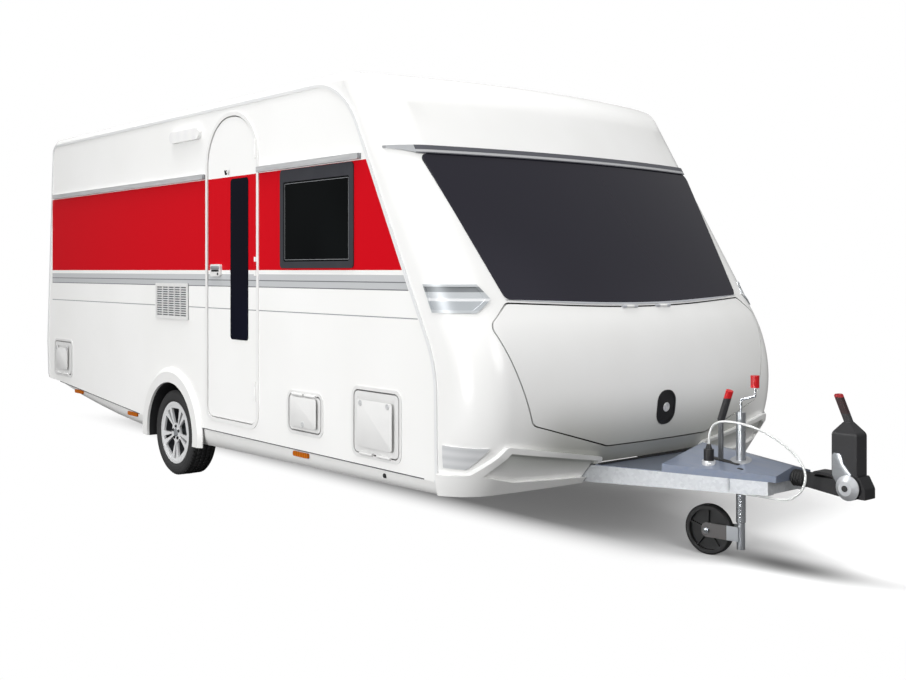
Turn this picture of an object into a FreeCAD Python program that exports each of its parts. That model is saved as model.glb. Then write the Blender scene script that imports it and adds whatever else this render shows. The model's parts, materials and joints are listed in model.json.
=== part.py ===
import FreeCAD, Part
import math
import os
from FreeCAD import Vector

# Single-axle touring caravan, parked on its jockey wheel.
# Lengths are in millimetres. X points forward to the hitch, Y to the left side, Z up from the ground.
# While it is modelled, X is measured from the wheel axis. On export the model moves along X,
# so that the middle of its whole length stands over the origin.

# Common clearances
overrun = 30.0
seat_gap = 0.3
bond = 1.0

# Hinge knuckles: one long knuckle on the moving piece between two short ones on its frame
knuckle_radius = 9.0
knuckle_length = 60.0
knuckle_clear = 0.5
mitred = 2

# Body outline, seen from the side
body_width = 2500.0
wall = 34.0
roof_height = 2620.0
body_foot = 384.0
front_reach = 3505.0
bulge_corner = (3588.0, 900.0)
nose_foot = (3457.0, 540.0)
front_foot_reach = 3350.0
brow = (2815.0, 2167.0)
roof_front_radius = 450.0
rear_reach = 2530.0
rear_waist_height = 850.0
rear_top_setback = 135.0
rear_foot_setback = 28.0
rear_foot_height = 532.0
rear_rise_start = 560.0
rear_corner_radius = 140.0
bow_radius = 5700.0
front_corner_radius = 240.0
bow_setback = 340.0
edge_radius = 60.0

# Flat side panels and the seams of the moulded ends
seam_foot = 3035.0
seam_knee = (3025.0, 985.0)
seam_knee_radius = 600.0
seam_top = 2176.0
seam_top_radius = 500.0
roof_front_seam = 1930.0
roof_rear_seam = 2330.0
side_corner_radius = 80.0

# Floor and chassis
floor_bottom = 436.0
floor_thickness = 44.0
rail_web_y = 620.0
rail_height = 150.0
rail_flange = 50.0
steel = 4.0
rail_front = 2880.0
rail_rear = 2300.0
cross_member_places = (2150.0, -900.0, -2150.0)

# Wheels and axle
tyre_diameter = 610.0
tyre_width = 200.0
wheel_face = 1245.0
rim_radius = 208.0
rim_flange = 14.0
rim_thickness = 8.0
bead_share = 0.8
dish_share = 0.62
tyre_side_shares = ((0.97, 0.3), (1.0, 0.5), (0.97, 0.75), (0.91, 0.92), (0.82, 1.0))
dish_rise = 8.0
wheel_window_shares = (0.62, 0.14)
spoke_pairs = 5
drum_radius = 125.0
drum_width = 60.0
axle_tube_radius = 45.0
axle_tube_wall = 6.0
axle_tube_ahead = 140.0
axle_tube_rise = 62.0
arm_thickness = 30.0
arch_radius = 365.0
arch_trim_width = 105.0
arch_trim_depth = 30.0
arch_trim_foot = 250.0
housing_wall = 6.0
housing_inner = 935.0

# Drawbar
nose_x = 4271.0
nose_half_width = 160.0
drawbar_top = 434.0
drawbar_rear_bottom = 330.0
drawbar_nose_bottom = 366.0
drawbar_bend = 2900.0
drawbar_rear = 2600.0
drawbar_thickness = 50.0
cross_plate_x = 3640.0
cover_sheet_rear = 3395.0
cover_step = 3750.0
cover_front = 4310.0
cover_wall = 4.0
cover_nose_height = 67.0
cover_climb = 0.095
cover_side_fall = 0.2375
lever_slot = (90.0, 34.0)

# Hitch
hitch_height = 447.0
shaft_radius = 25.0
shaft_rear = 4150.0
shaft_front = 4500.0
bellows_span = (4312.0, 4410.0)
bellows_radius = 42.0
bellows_folds = 6
head_span = (4412.0, 4722.0)
head_half_width = 45.0
head_half_height = 48.0
ball_radius = 25.3
ball_x = 4640.0
cheek_radius = 60.0
cheek_reach = 82.0
cheek_rim = 60.0
cheek_crown_radius = 34.0
cheek_cap = (15.0, 4.0)
release_slot = (4455.0, 4560.0)
release_slot_heights = (476.0, 488.0)
head_top = 502.0
handle_span = (4548.0, 4680.0)
handle_foot = 480.0
handle_shoulder = 700.0
handle_neck = 752.0
handle_top = 882.0
handle_neck_x = 4612.0
handle_tip_x = 4555.0
handle_grip = 36.0
handle_width = 88.0
handle_grip_width = 26.0
handle_corner = 34.0

# Handbrake, plug and jockey gear
lever_x = 3967.0
lever_y = -130.0
lever_bend = 705.0
lever_tip = (4023.0, 862.0)
lever_grip_radius = 19.0
lever_stem = (26.0, 10.0)
lever_hub_radius = 27.0
mast_x = 4054.0
mast_y = -80.0
mast_radius = 24.0
mast_wall = 2.5
mast_top = 751.0
mast_foot = 190.0
crank_height = 814.0
crank_reach = (60.0, 35.0)
crank_rise = 20.0
crank_rod = 6.0
knob_radius = 22.0
knob_heights = (878.0, 940.0)
leg_radius = 21.2
leg_top = 640.0
leg_foot = 186.0
swivel_foot = 52.0
fork_heights = (94.0, 168.0)
fork_end_radius = 30.0
jockey_radius = 130.0
jockey_width = 50.0
jockey_trail = 176.0
jockey_turn = 10.0
jockey_hub_radius = 22.0
jockey_bead_radius = 104.0
jockey_crown = 8.0
jockey_web = 8.0
jockey_ribs = 5
jockey_rib_width = 36.0

# Front window, lid and lamps, seen from the front as half widths and heights
window_top_half = 1122.0
window_top = 2112.0
window_foot_half = 965.0
window_foot = 1323.0
window_dip = 35.0
window_corner = 40.0
window_proud = 5.0
dip_radius = 12000.0
brow_strip_height = 46.0
brow_end_half = 1234.0
trim_proud = 12.0
sill_strip_height = 20.0
sill_to_lid = 10.0
lid_to_window = 22.0
lid_waist_half = 1105.0
lid_waist_height = 1195.0
lid_low_half = 930.0
lid_low_height = 690.0
lid_foot_half = 412.0
lid_foot = 542.0
lid_corner = 55.0
lid_hinge_places = (-140.0, 140.0)
lid_hinge_proud = 3.0
lid_gap = 8.0
lid_skin = 14.0
lid_step = 22.0
lock_height = 720.0
lock_size = (190.0, 150.0)
lock_depth = 6.0
lock_rim = 12.0
lock_round_share = 0.9
rim_depth = 3.0
pod_halves = (1056.0, 1151.0, 1100.0)
pod_tip_height = 1327.0
pod_heights = (1256.0, 1402.0)
pod_starts = (3001.0, 2922.0)
pod_proud = 7.0
pod_border = 14.0
lamp_heights = (467.0, 583.0)
lamp_halves = (1200.0, 1153.0)
lamp_start = 3086.0
bumper_corners = (
    (425.0, 335.0, 50.0), (1330.0, 318.0, 0.0), (1330.0, 424.0, 0.0), (1195.0, 440.0, 20.0), (1080.0, 590.0, 30.0),
    (425.0, 480.0, 30.0),
)
scoop_corners = (
    (470.0, 366.0, 20.0), (960.0, 386.0, 300.0), (1150.0, 432.0, 8.0), (1056.0, 554.0, 14.0), (455.0, 460.0, 14.0),
)
scoop_floor = 5.0
bumper_proud = 26.0
bumper_start = 3045.0
notch_half = 500.0
notch_height = 446.0

# Door on the right side
door_span = (546.0, 1196.0)
door_heights = (487.0, 2487.0)
door_top_radius = 310.0
door_foot_radius = 70.0
door_gap = 7.0
door_frame_width = 26.0
door_frame_proud = 6.0
door_window_span = (861.0, 1094.0)
door_window_heights = (1019.0, 2077.0)
door_window_radius = 25.0
door_handle_span = (600.0, 740.0)
door_handle_heights = (1433.0, 1515.0)
door_handle_depth = 16.0
hinge_proud = 8.0
hinge_heights = (700.0, 1500.0, 2250.0)

# Side and rear windows
window_frame_width = 40.0
window_header = 76.0
window_frame_proud = 8.0
side_window_radius = 26.0
right_window = (1497.0, 2290.0, 1487.0, 2090.0)
left_windows = ((1497.0, 2290.0, 1487.0, 2090.0), (-760.0, 240.0, 1487.0, 2090.0))
rear_window_half = 750.0
rear_window_heights = (1487.0, 2090.0)
pane_thickness = 20.0
pane_proud = 3.0

# Service flaps, right side: rear end, front end, foot, top
large_flap = (2298.0, 2710.0, 459.0, 800.0)
small_flap = (1602.0, 1948.0, 511.0, 721.0)
rear_flap = (-2290.0, -1919.0, 590.0, 855.0)
flaps = ((large_flap, "foot"), (small_flap, "head"), (rear_flap, "foot"))
flap_radius = 32.0
flap_gap = 8.0
flap_proud = 3.0
flap_frame_width = 20.0
flap_frame_proud = 4.0
flap_knuckle_share = 0.3

# Trims, rails, lamps and grille
edge_trim_width = 20.0
edge_trim_proud = 6.0
rail_strip_height = 35.0
rail_strip_proud = 24.0
rail_strip_z = 2115.0
rail_strips = ((-2307.0, 499.0), (1233.0, 2353.0))
vent_span = (-261.0, 255.0)
vent_heights = (1123.0, 1382.0)
vent_proud = 12.0
vent_border = 22.0
vent_columns = 5
vent_rows = 13
vent_bar = 9.0
vent_slot_height = 9.0
awning_lamp_x = 224.0
awning_lamp_z = 2421.0
awning_lamp_size = (450.0, 80.0, 27.0)
skirt_inset = 14.0
skirt_wall = 3.0
skirt_front_heights = (263.0, 310.0)
skirt_front_span = (375.0, 3030.0)
skirt_rear_span = (-2181.0, -520.0)
skirt_rear_heights = (500.0, 305.0)
marker_places = (-1775.0, -700.0, 1717.0)
marker_drop = 22.0
marker_size = (170.0, 30.0, 12.0)
rear_lamp_half = 1060.0
rear_lamp_size = (180.0, 420.0)
rear_lamp_height = 1015.0
rear_lamp_proud = 22.0
rear_bumper_heights = (532.0, 800.0)
rear_bumper_proud = 16.0
plate_size = (540.0, 130.0)
plate_height = 690.0
plate_depth = 6.0
rooflight_places = ((1150.0, 700.0, 500.0), (-500.0, 400.0, 400.0), (-1750.0, 400.0, 400.0))
rooflight_height = 55.0
rooflight_radius = 60.0
bulkhead_x = 2960.0
bulkhead_thickness = 20.0

# Corner steadies
steady_front_pivot = 2460.0
steady_rear_pivot = -1760.0
steady_y = 820.0
steady_pivot_height = 385.0
steady_length = 440.0
steady_width = 46.0
steady_depth = 34.0
steady_foot = 90.0
steady_bracket = 60.0
steady_tail = 18.0
steady_pin_radius = 8.0

# Lead and plug
lead_diameter = 12.0
plug_radius = 26.0
plug_seat = 504.0
plug_neck = 26.0
bend_share = 0.45
plug_x = 3945.0
plug_y = -200.0
lead_points = [
    (3945.0, -200.0, 588.0), (3945.0, -200.0, 645.0), (3975.0, -197.0, 695.0), (4030.0, -190.0, 712.0),
    (4100.0, -180.0, 711.0), (4180.0, -168.0, 699.0), (4262.0, -154.0, 672.0), (4345.0, -136.0, 627.0),
    (4420.0, -124.0, 568.0), (4462.0, -120.0, 494.0), (4446.0, -128.0, 412.0), (4384.0, -138.0, 362.0),
    (4312.0, -142.0, 352.0), (4228.0, -144.0, 355.0), (4146.0, -150.0, 353.0), (4066.0, -164.0, 356.0),
    (3985.0, -188.0, 360.0), (3908.0, -226.0, 372.0), (3828.0, -272.0, 370.0), (3744.0, -306.0, 367.0),
    (3656.0, -338.0, 365.0), (3580.0, -366.0, 364.0), (3510.0, -400.0, 361.0), (3440.0, -411.0, 359.0),
    (3400.0, -411.0, 359.0),
]
box_size = (70.0, 30.0, 40.0)

# Worked out from the sizes above
half_width = body_width / 2
axle_height = tyre_diameter / 2
floor_top = floor_bottom + floor_thickness
wheel_middle = wheel_face - tyre_width / 2
hitch_reach = head_span[1]
middle_x = (hitch_reach - rear_reach - rear_lamp_proud) / 2
drawbar_spread = (rail_web_y - nose_half_width) / (nose_x - drawbar_bend)


def in_xz(y):
    """Places an outline in the vertical plane along the caravan at this Y."""
    return lambda u, v: Vector(u, y, v)


def in_yz(x):
    """Places an outline in the vertical plane across the caravan at this X."""
    return lambda u, v: Vector(x, u, v)


def in_xy(z):
    """Places an outline in the level plane at this Z."""
    return lambda u, v: Vector(u, v, z)


def outline(points, place):
    """Closed wire of straight lines, with an arc at each corner that names a radius."""
    edges = []
    ends = []
    for index, (u, v, radius) in enumerate(points):
        corner = place(u, v)
        back = (place(*points[index - 1][:2]) - corner).normalize()
        ahead = (place(*points[(index + 1) % len(points)][:2]) - corner).normalize()
        if radius == 0:
            ends.append((corner, None, corner))
            continue
        half_angle = back.getAngle(ahead) / 2
        reach = radius / math.tan(half_angle)
        inward = (back + ahead).normalize()
        crown = corner + inward * (radius / math.sin(half_angle) - radius)
        ends.append((corner + back * reach, crown, corner + ahead * reach))
    for index, (entry, crown, leave) in enumerate(ends):
        if crown is not None:
            edges.append(Part.Arc(entry, crown, leave).toShape())
        following = ends[(index + 1) % len(ends)][0]
        if (following - leave).Length > 1e-6:
            edges.append(Part.LineSegment(leave, following).toShape())
    return Part.Wire(edges)


def prism(points, place, direction):
    """Solid swept straight from an outline."""
    return Part.Face(outline(points, place)).extrude(direction)


def prism_xz(points, y_from, y_to):
    return prism(points, in_xz(y_from), Vector(0, y_to - y_from, 0))


def prism_yz(points, x_from, x_to):
    return prism(points, in_yz(x_from), Vector(x_to - x_from, 0, 0))


def prism_xy(points, z_from, z_to):
    return prism(points, in_xy(z_from), Vector(0, 0, z_to - z_from))


def rectangle(u_from, u_to, v_from, v_to, radius=0):
    return [(u_from, v_from, radius), (u_to, v_from, radius), (u_to, v_to, radius), (u_from, v_to, radius)]


def grown(span, margin):
    """Rectangle given by four limits, larger by a margin all round."""
    return (span[0] - margin, span[1] + margin, span[2] - margin, span[3] + margin)


def block(x_from, x_to, y_from, y_to, z_from, z_to):
    return prism_xy(rectangle(x_from, x_to, y_from, y_to), z_from, z_to)


def rod(start, end, radius):
    return Part.makeCylinder(radius, (end - start).Length, start, end - start)


def mirrored(shape):
    """The same piece on the other side of the caravan."""
    return shape.mirror(Vector(0, 0, 0), Vector(0, 1, 0))


def both_sides(shape):
    return Part.makeCompound([shape, mirrored(shape)])


def arch_points(half, foot, top, radius):
    """Outline symmetric about the middle line, in half widths and heights."""
    return [(-half, foot, radius), (half, foot, radius), (half, top, radius), (-half, top, radius)]


def front_points(foot, top):
    """Corners of the front seen from the side, between a foot and a top height."""
    foot_lean = (nose_foot[0] - front_foot_reach) / (nose_foot[1] - body_foot)
    slope = (brow[0] - bulge_corner[0]) / (brow[1] - bulge_corner[1])
    rise = bulge_corner[1] - nose_foot[1]
    lean = math.atan2(bulge_corner[0] - nose_foot[0], rise)
    turn = lean + math.atan2(bulge_corner[0] - brow[0], brow[1] - bulge_corner[1])
    bulge_radius = rise / math.cos(lean) / math.tan(turn / 2)
    return [
        (nose_foot[0] - foot_lean * (nose_foot[1] - foot), foot, 0),
        (nose_foot[0], nose_foot[1], 0),
        (bulge_corner[0], bulge_corner[1], bulge_radius),
        (bulge_corner[0] + slope * (top - bulge_corner[1]), top, 0),
    ]


def side_profile(foot_drop):
    """Wire of the body seen from the side, with its foot lowered by a given amount."""
    foot = body_foot - foot_drop
    front = front_points(foot, roof_height)
    roof_corner = (front[-1][0], roof_height, roof_front_radius)
    rear = [
        (rear_top_setback - rear_reach, roof_height, rear_corner_radius),
        (-rear_reach, rear_waist_height, 0),
        (rear_foot_setback - rear_reach, rear_foot_height - foot_drop, 0),
        (-rear_rise_start, foot, 0),
    ]
    return outline(front[:-1] + [roof_corner] + rear, in_xz(0))


def column_profile():
    """Wire of the front face carried straight up past the roof and down past the foot."""
    high = roof_height + bow_setback
    low = body_foot - bow_setback
    return outline(front_points(low, high) + [(0, high, 0), (0, low, 0)], in_xz(0))


def bowed(face, x_from, half):
    """Front body swept about the upright axis of the bowed front, trimmed to the body's width."""
    axis_x = front_reach - bow_radius
    keep = block(x_from, front_reach + bow_radius, -half_width, half_width, -roof_height, 2 * roof_height)
    section = face.common(keep)
    turn = math.degrees(math.asin(half_width / (roof_front_seam - axis_x))) + 1
    section.rotate(Vector(axis_x, 0, 0), Vector(0, 0, 1), -turn)
    swept = section.revolve(Vector(axis_x, 0, 0), Vector(0, 0, 1), 2 * turn)
    trim = block(x_from, front_reach + bow_radius, -half, half, -roof_height, 2 * roof_height)
    return swept.common(trim).Solids[0]


def inset_face(wire, inset):
    """Face inside the wire, smaller by the inset all round, or larger where it is negative."""
    face = Part.Face(wire)
    if inset == 0:
        return face
    return face.makeOffset2D(-inset, mitred)


def side_edges(body, half, x_from):
    """Edges where the flat sides meet the rest of the body, ahead of a given X."""
    found = []
    for edge in body.Edges:
        box = edge.BoundBox
        on_side = abs(abs(box.YMin) - half) < bond / 10 and box.YLength < bond / 10
        level_foot = box.ZLength < bond and box.ZMax < floor_top
        if on_side and not level_foot and box.XMax > x_from:
            found.append(edge)
    return found


def envelope(inset, foot_drop=0):
    """Whole body form, smaller by the inset all round, with its edges rounded."""
    half = half_width - inset
    face = inset_face(side_profile(foot_drop), inset)
    meeting = roof_front_seam - bow_setback
    rear = face.copy()
    rear.translate(Vector(0, -half, 0))
    rear = rear.extrude(Vector(0, 2 * half, 0))
    rear = rear.common(block(-2 * rear_reach, meeting, -half_width * 2, half_width * 2, 0, 2 * roof_height))
    whole = rear.fuse(bowed(face, meeting, half)).removeSplitter().Solids[0]
    edges = [edge for edge in side_edges(whole, half, -2 * rear_reach) if not is_foot(edge)]
    whole = whole.makeFillet(edge_radius - inset, edges)
    column = bowed(inset_face(column_profile(), inset), meeting - bow_setback, half)
    front_edges = [edge for edge in side_edges(column, half, meeting) if edge.BoundBox.ZLength > bond]
    column = column.makeFillet(front_corner_radius - inset, front_edges)
    ahead = block(meeting, 2 * front_reach, -body_width, body_width, -roof_height, 2 * roof_height)
    waste = ahead.cut(column)
    high = block(meeting, 2 * front_reach, -body_width, body_width, roof_height, 2 * roof_height)
    right = block(-2 * rear_reach, 2 * front_reach, -body_width, 0, -roof_height, 2 * roof_height)
    right_half = whole.cut(waste.cut(high)).common(right).Solids[0]
    return right_half.fuse(mirrored(right_half)).removeSplitter().Solids[0]


def is_foot(edge):
    """True for the edges along the underside of the body."""
    box = edge.BoundBox
    return box.ZMax <= rear_foot_height + bond and box.ZLength < box.XLength / 2


def side_panel_points():
    """Flat side panel, from the rear edge trim to the seam of the moulded front."""
    gutter = roof_height - edge_radius
    return [
        (seam_foot, body_foot, 0),
        (seam_knee[0], seam_knee[1], seam_knee_radius),
        (seam_top, gutter, seam_top_radius),
        (rear_top_setback + edge_radius - rear_reach, gutter, side_corner_radius),
        (edge_radius - rear_reach, rear_waist_height, 0),
        (edge_radius + rear_foot_setback - rear_reach, rear_foot_height, 0),
        (-rear_rise_start, body_foot, 0),
    ]


def window_outline(grow):
    """Front window seen from the front, larger by a margin."""
    dip = window_foot - window_dip
    return [
        (-window_top_half - grow, window_top + grow, window_corner),
        (-window_foot_half - grow, window_foot - grow, window_corner),
        (0, dip - grow, dip_radius),
        (window_foot_half + grow, window_foot - grow, window_corner),
        (window_top_half + grow, window_top + grow, window_corner),
    ]


def lid_top():
    """Height of the lid's upper corners, below the window."""
    return window_foot - lid_to_window


def lid_dip():
    """Height of the lid's top edge on the middle line, below the window's trim."""
    return window_foot - window_dip - sill_strip_height - sill_to_lid


def lid_outline(grow):
    """Locker lid seen from the front, larger by a margin."""
    top = lid_top()
    return [
        (-window_foot_half - grow, top + grow, lid_corner),
        (-lid_waist_half - grow, lid_waist_height, lid_corner),
        (-lid_low_half - grow, lid_low_height - grow / 2, lid_corner),
        (-lid_foot_half, lid_foot - grow, lid_corner),
        (lid_foot_half, lid_foot - grow, lid_corner),
        (lid_low_half + grow, lid_low_height - grow / 2, lid_corner),
        (lid_waist_half + grow, lid_waist_height, lid_corner),
        (window_foot_half + grow, top + grow, lid_corner),
        (0, lid_dip() + grow, dip_radius),
    ]


def front_prism(points):
    """Outline seen from the front, carried through the front of the body."""
    return prism_yz(points, roof_front_seam, front_reach + 2 * overrun)


def door_points(grow):
    radius = door_top_radius + grow
    foot = door_foot_radius + grow
    rear, front = door_span[0] - grow, door_span[1] + grow
    low, high = door_heights[0] - grow, door_heights[1] + grow
    return [(rear, low, foot), (front, low, foot), (front, high, radius), (rear, high, radius)]


def flap_points(span, grow):
    return rectangle(*grown(span, grow), flap_radius + grow)


def arch_cut(radius, y_from, y_to):
    """Round wheel opening, carried down past the foot of the wall."""
    round_part = Part.makeCylinder(radius, y_to - y_from, Vector(0, y_from, axle_height), Vector(0, 1, 0))
    lower = block(-radius, radius, y_from, y_to, 0, axle_height)
    return round_part.fuse(lower)


def side_wall(side):
    """One flat side of the body with its windows, wheel arch and, on the right, door and flaps."""
    inner = half_width - wall
    panel = prism_xz(side_panel_points(), inner, half_width)
    cuts = [arch_cut(arch_radius, inner - overrun, half_width + overrun)]
    if side == "left":
        for span in left_windows:
            cuts.append(prism_xz(rectangle(*span, side_window_radius), inner - overrun, half_width + overrun))
        return panel.cut(cuts)
    spans = [rectangle(*right_window, side_window_radius), door_points(door_gap + door_frame_width)]
    spans += [flap_points(span, flap_gap + flap_frame_width) for span, edge in flaps]
    for points in spans:
        cuts.append(prism_xz(points, inner - overrun, half_width + overrun))
    return mirrored(panel.cut(cuts))


def body_panels(outer, inner):
    """Roof, moulded front cap and rear wall, split where the panels meet."""
    shell = outer.cut(inner)
    sides = prism_xz(side_panel_points(), half_width - wall, half_width + overrun)
    rest = shell.cut([sides, mirrored(sides)])
    wide = half_width + overrun
    front = rest.common(block(roof_front_seam, 2 * front_reach, -wide, wide, 0, 2 * roof_height))
    window = front_prism(window_outline(0))
    lid = front_prism(lid_outline(lid_gap))
    notch = front_prism(arch_points(notch_half, 0, notch_height, overrun))
    hinges = [knuckle_room(centre, Vector(0, 1, 0), True) for centre in lid_hinge_centres()]
    front = front.cut([window, lid, notch] + hinges)
    roof = rest.common(block(-roof_rear_seam, roof_front_seam, -wide, wide, roof_height / 2, 2 * roof_height))
    lights = [rooflight_hole(place) for place in rooflight_places]
    roof = roof.cut(lights)
    rear = rest.common(block(-2 * rear_reach, -roof_rear_seam, -wide, wide, 0, 2 * roof_height))
    rear = rear.cut(rear_prism(rear_window_points(0)))
    return front.Solids[0], roof.Solids[0], rear.Solids[0]


def rooflight_hole(place):
    x, length, width = place
    points = rectangle(x - length / 2, x + length / 2, -width / 2, width / 2, rooflight_radius)
    return prism_xy(points, roof_height - 2 * wall, roof_height + overrun)


def rear_window_points(inset):
    half = rear_window_half - inset
    return arch_points(half, rear_window_heights[0] + inset, rear_window_heights[1] - inset,
                       side_window_radius - inset / 2)


def rear_prism(points):
    return prism_yz(points, -rear_reach - 2 * overrun, -roof_rear_seam)


def layer(outer_inset, inner_inset, points, ahead=True):
    """Part of the body's skin between two insets, inside an outline seen from the front or rear."""
    form = front_prism(points) if ahead else rear_prism(points)
    return form.common(skin_form(outer_inset)).cut(skin_form(inner_inset))


skin_forms = {}


def skin_form(inset, foot_drop=None):
    """Body form at an inset, made once and kept for the pieces that need it."""
    if foot_drop is None:
        foot_drop = 2 * wall if inset > 0 else 0
    if (inset, foot_drop) not in skin_forms:
        skin_forms[inset, foot_drop] = envelope(inset, foot_drop)
    return skin_forms[inset, foot_drop]


def front_window():
    return layer(-window_proud, pane_thickness, window_outline(0)).Solids[0]


def front_window_trims():
    """Strip above the front window with its tapered end caps, and the trim below the window."""
    top = window_top + brow_strip_height
    brow_points = [
        (-window_top_half, window_top, 0),
        (window_top_half, window_top, 0),
        (brow_end_half, top - brow_strip_height / 3, 0),
        (brow_end_half, top, 0),
        (-brow_end_half, top, 0),
        (-brow_end_half, top - brow_strip_height / 3, 0),
    ]
    brow = layer(-trim_proud, 0, brow_points)
    foot = window_foot
    sill_points = [
        (-window_foot_half, foot, 0),
        (0, foot - window_dip, dip_radius),
        (window_foot_half, foot, 0),
        (0, foot - window_dip - sill_strip_height, dip_radius),
    ]
    sill = layer(-trim_proud / 2, 0, sill_points)
    return Part.makeCompound([brow.Solids[0], sill.Solids[0]] + lid_hinge_frame())


def knuckles(centre, along, moving):
    """Hinge barrels on a line: the long middle one moves, the two end ones stay with the frame."""
    middle = rod(centre - along * (knuckle_length / 2), centre + along * (knuckle_length / 2), knuckle_radius)
    if moving:
        return middle
    ends = []
    for side in (-1, 1):
        near = centre + along * (side * (knuckle_length / 2 + seat_gap))
        ends.append(rod(near, near + along * (side * knuckle_length / 2), knuckle_radius))
    return ends[0].fuse(ends[1])


def knuckle_room(centre, along, moving):
    """Space that a hinge's barrels need in the piece on the other side of the gap."""
    radius = knuckle_radius + knuckle_clear
    middle = rod(centre - along * (knuckle_length / 2 + seat_gap),
                 centre + along * (knuckle_length / 2 + seat_gap), radius)
    if moving:
        return middle
    reach = knuckle_length + 2 * seat_gap
    whole = rod(centre - along * reach, centre + along * reach, radius)
    gap = rod(centre - along * (knuckle_length / 2), centre + along * (knuckle_length / 2), 2 * radius)
    return whole.cut(gap)


def lid_hinge():
    """Place and height of the lid's hinge line, in the gap above the lid and just proud of the front."""
    y = lid_hinge_places[-1]
    upright = Part.makeLine(Vector(seam_foot, y, lid_waist_height), Vector(seam_foot, y, window_foot))
    z = max(vertex.Z for vertex in front_prism(lid_outline(lid_gap / 2)).common(upright).Vertexes)
    level = Part.makeLine(Vector(seam_foot, y, z), Vector(2 * front_reach, y, z))
    return max(vertex.X for vertex in skin_form(0).common(level).Vertexes) + lid_hinge_proud, z


def lid_hinge_centres():
    x, z = lid_hinge()
    return [Vector(x, y, z) for y in lid_hinge_places]


def lid_hinge_frame():
    """Fixed barrels of the lid's hinges, seated on the front cap."""
    along = Vector(0, 1, 0)
    opening = front_prism(lid_outline(lid_gap))
    cap = skin_form(0).cut(opening)
    pieces = []
    for centre in lid_hinge_centres():
        pieces += knuckles(centre, along, False).cut(cap).Solids
    return pieces


def locker_lid():
    """Front locker lid: an outer skin, a narrower liner behind it, and hinge barrels along its top edge."""
    liner = layer(lid_skin, wall, lid_outline(-lid_step)).Solids[0]
    lid = layer(0, lid_skin, lid_outline(0)).Solids[0].fuse(liner)
    along = Vector(0, 1, 0)
    for centre in lid_hinge_centres():
        lid = lid.fuse(knuckles(centre, along, True)).cut(knuckle_room(centre, along, False))
    return max(lid.Solids, key=lambda solid: solid.Volume)


def lock_points(inset):
    """Oval of the lid's lock plate, smaller by an inset."""
    half_height, half_wide = lock_size[0] / 2 - inset, lock_size[1] / 2 - inset
    return [(u, lock_height + v, half_wide * lock_round_share)
            for u, v in ((-half_wide, -half_height), (half_wide, -half_height),
                         (half_wide, half_height), (-half_wide, half_height))]


def sunk(piece, points):
    """Piece on the front's skin with its middle sunk, so that a rim stays round it."""
    return piece.cut(front_prism(points).cut(skin_form(-rim_depth)))


def lid_lock():
    """Oval lock plate that stands on the lid, with a raised rim."""
    plate = layer(-lock_depth, 0, lock_points(0)).Solids[0]
    return sunk(plate, lock_points(lock_rim)).Solids[0]


def pod_points(inset):
    """Wedge seen from the front, from its point beside the window's foot out past the side."""
    low, high = pod_heights
    wide = half_width + overrun
    tip, low_half, high_half = pod_halves
    return [(tip + 2 * inset, pod_tip_height, 0), (low_half + inset / 2, low + inset, 0), (wide, low + inset, 0),
            (wide, high - inset, 0), (high_half + inset / 2, high - inset, 0)]


def pod_side(inset):
    """Slanted rear end of the wedge, seen from the side."""
    low, high = pod_heights
    low_start, high_start = pod_starts
    return prism_xz([(low_start + inset, low, 0), (front_reach, low, 0), (front_reach, high, 0),
                     (high_start + inset, high, 0)], 0, half_width + overrun)


def light_pods():
    """Wedge-shaped lamp trims that run round the front corners, sunk inside a rim."""
    pod = layer(-pod_proud, 0, pod_points(0)).common(pod_side(0)).Solids[0]
    room = front_prism(pod_points(pod_border)).common(pod_side(pod_border)).cut(skin_form(-rim_depth))
    return both_sides(pod.cut(room).Solids[0])


def position_lamps():
    """Lamps on the front corners above the bumper."""
    low, high = lamp_heights
    low_half, high_half = lamp_halves
    wide = half_width + overrun
    lamp = layer(-pod_proud, 0, [(high_half, high, 0), (low_half, low, 0), (wide, low, 0), (wide, high, 0)])
    lamp = lamp.common(block(lamp_start, front_reach, 0, wide, low, high))
    lamp = lamp.cut(bumper_form(bumper_proud, 0))
    return both_sides(max(lamp.Solids, key=lambda solid: solid.Volume))


def bumper_form(proud, inset):
    """One half of the front bumper, as the skin's band between two depths."""
    half = prism_yz(bumper_corners, bumper_start, front_reach + 2 * overrun)
    return half.common(skin_form(-proud, 2 * wall)).cut(skin_form(inset, 2 * wall))


def front_bumpers():
    """Bumper halves with a long scoop in each, cut clear of the drawbar that passes between them."""
    scoop = front_prism(scoop_corners).cut(skin_form(-scoop_floor, 2 * wall))
    half = bumper_form(bumper_proud, 0).cut([drawbar_rail(-flap_gap, overrun), scoop])
    return both_sides(max(half.Solids, key=lambda solid: solid.Volume))


def edge_trims():
    """Gutter rails that cover the joint between the flat sides and the roof, front and rear."""
    face = Part.Face(outline(side_panel_points(), in_xz(half_width)))
    ring = face.makeOffset2D(edge_trim_width / 2).cut(face.makeOffset2D(-edge_trim_width / 2))
    foot = prism_xz([(seam_foot + 2 * overrun, 0, 0), (seam_foot + 2 * overrun, body_foot, 0),
                     (-rear_rise_start, body_foot, 0),
                     (edge_radius + rear_foot_setback - rear_reach, rear_foot_height, 0),
                     (-2 * rear_reach, rear_foot_height, 0), (-2 * rear_reach, 0, 0)],
                    half_width - overrun, half_width + 2 * overrun)
    inside = prism_xz(inner_trim_points(), half_width - overrun, half_width + 2 * overrun)
    rail = ring.extrude(Vector(0, edge_trim_proud, 0)).cut([foot, inside])
    rail = rail.cut(skin_form(0))
    biggest = max(rail.Solids, key=lambda solid: solid.Volume)
    return both_sides(biggest)


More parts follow.
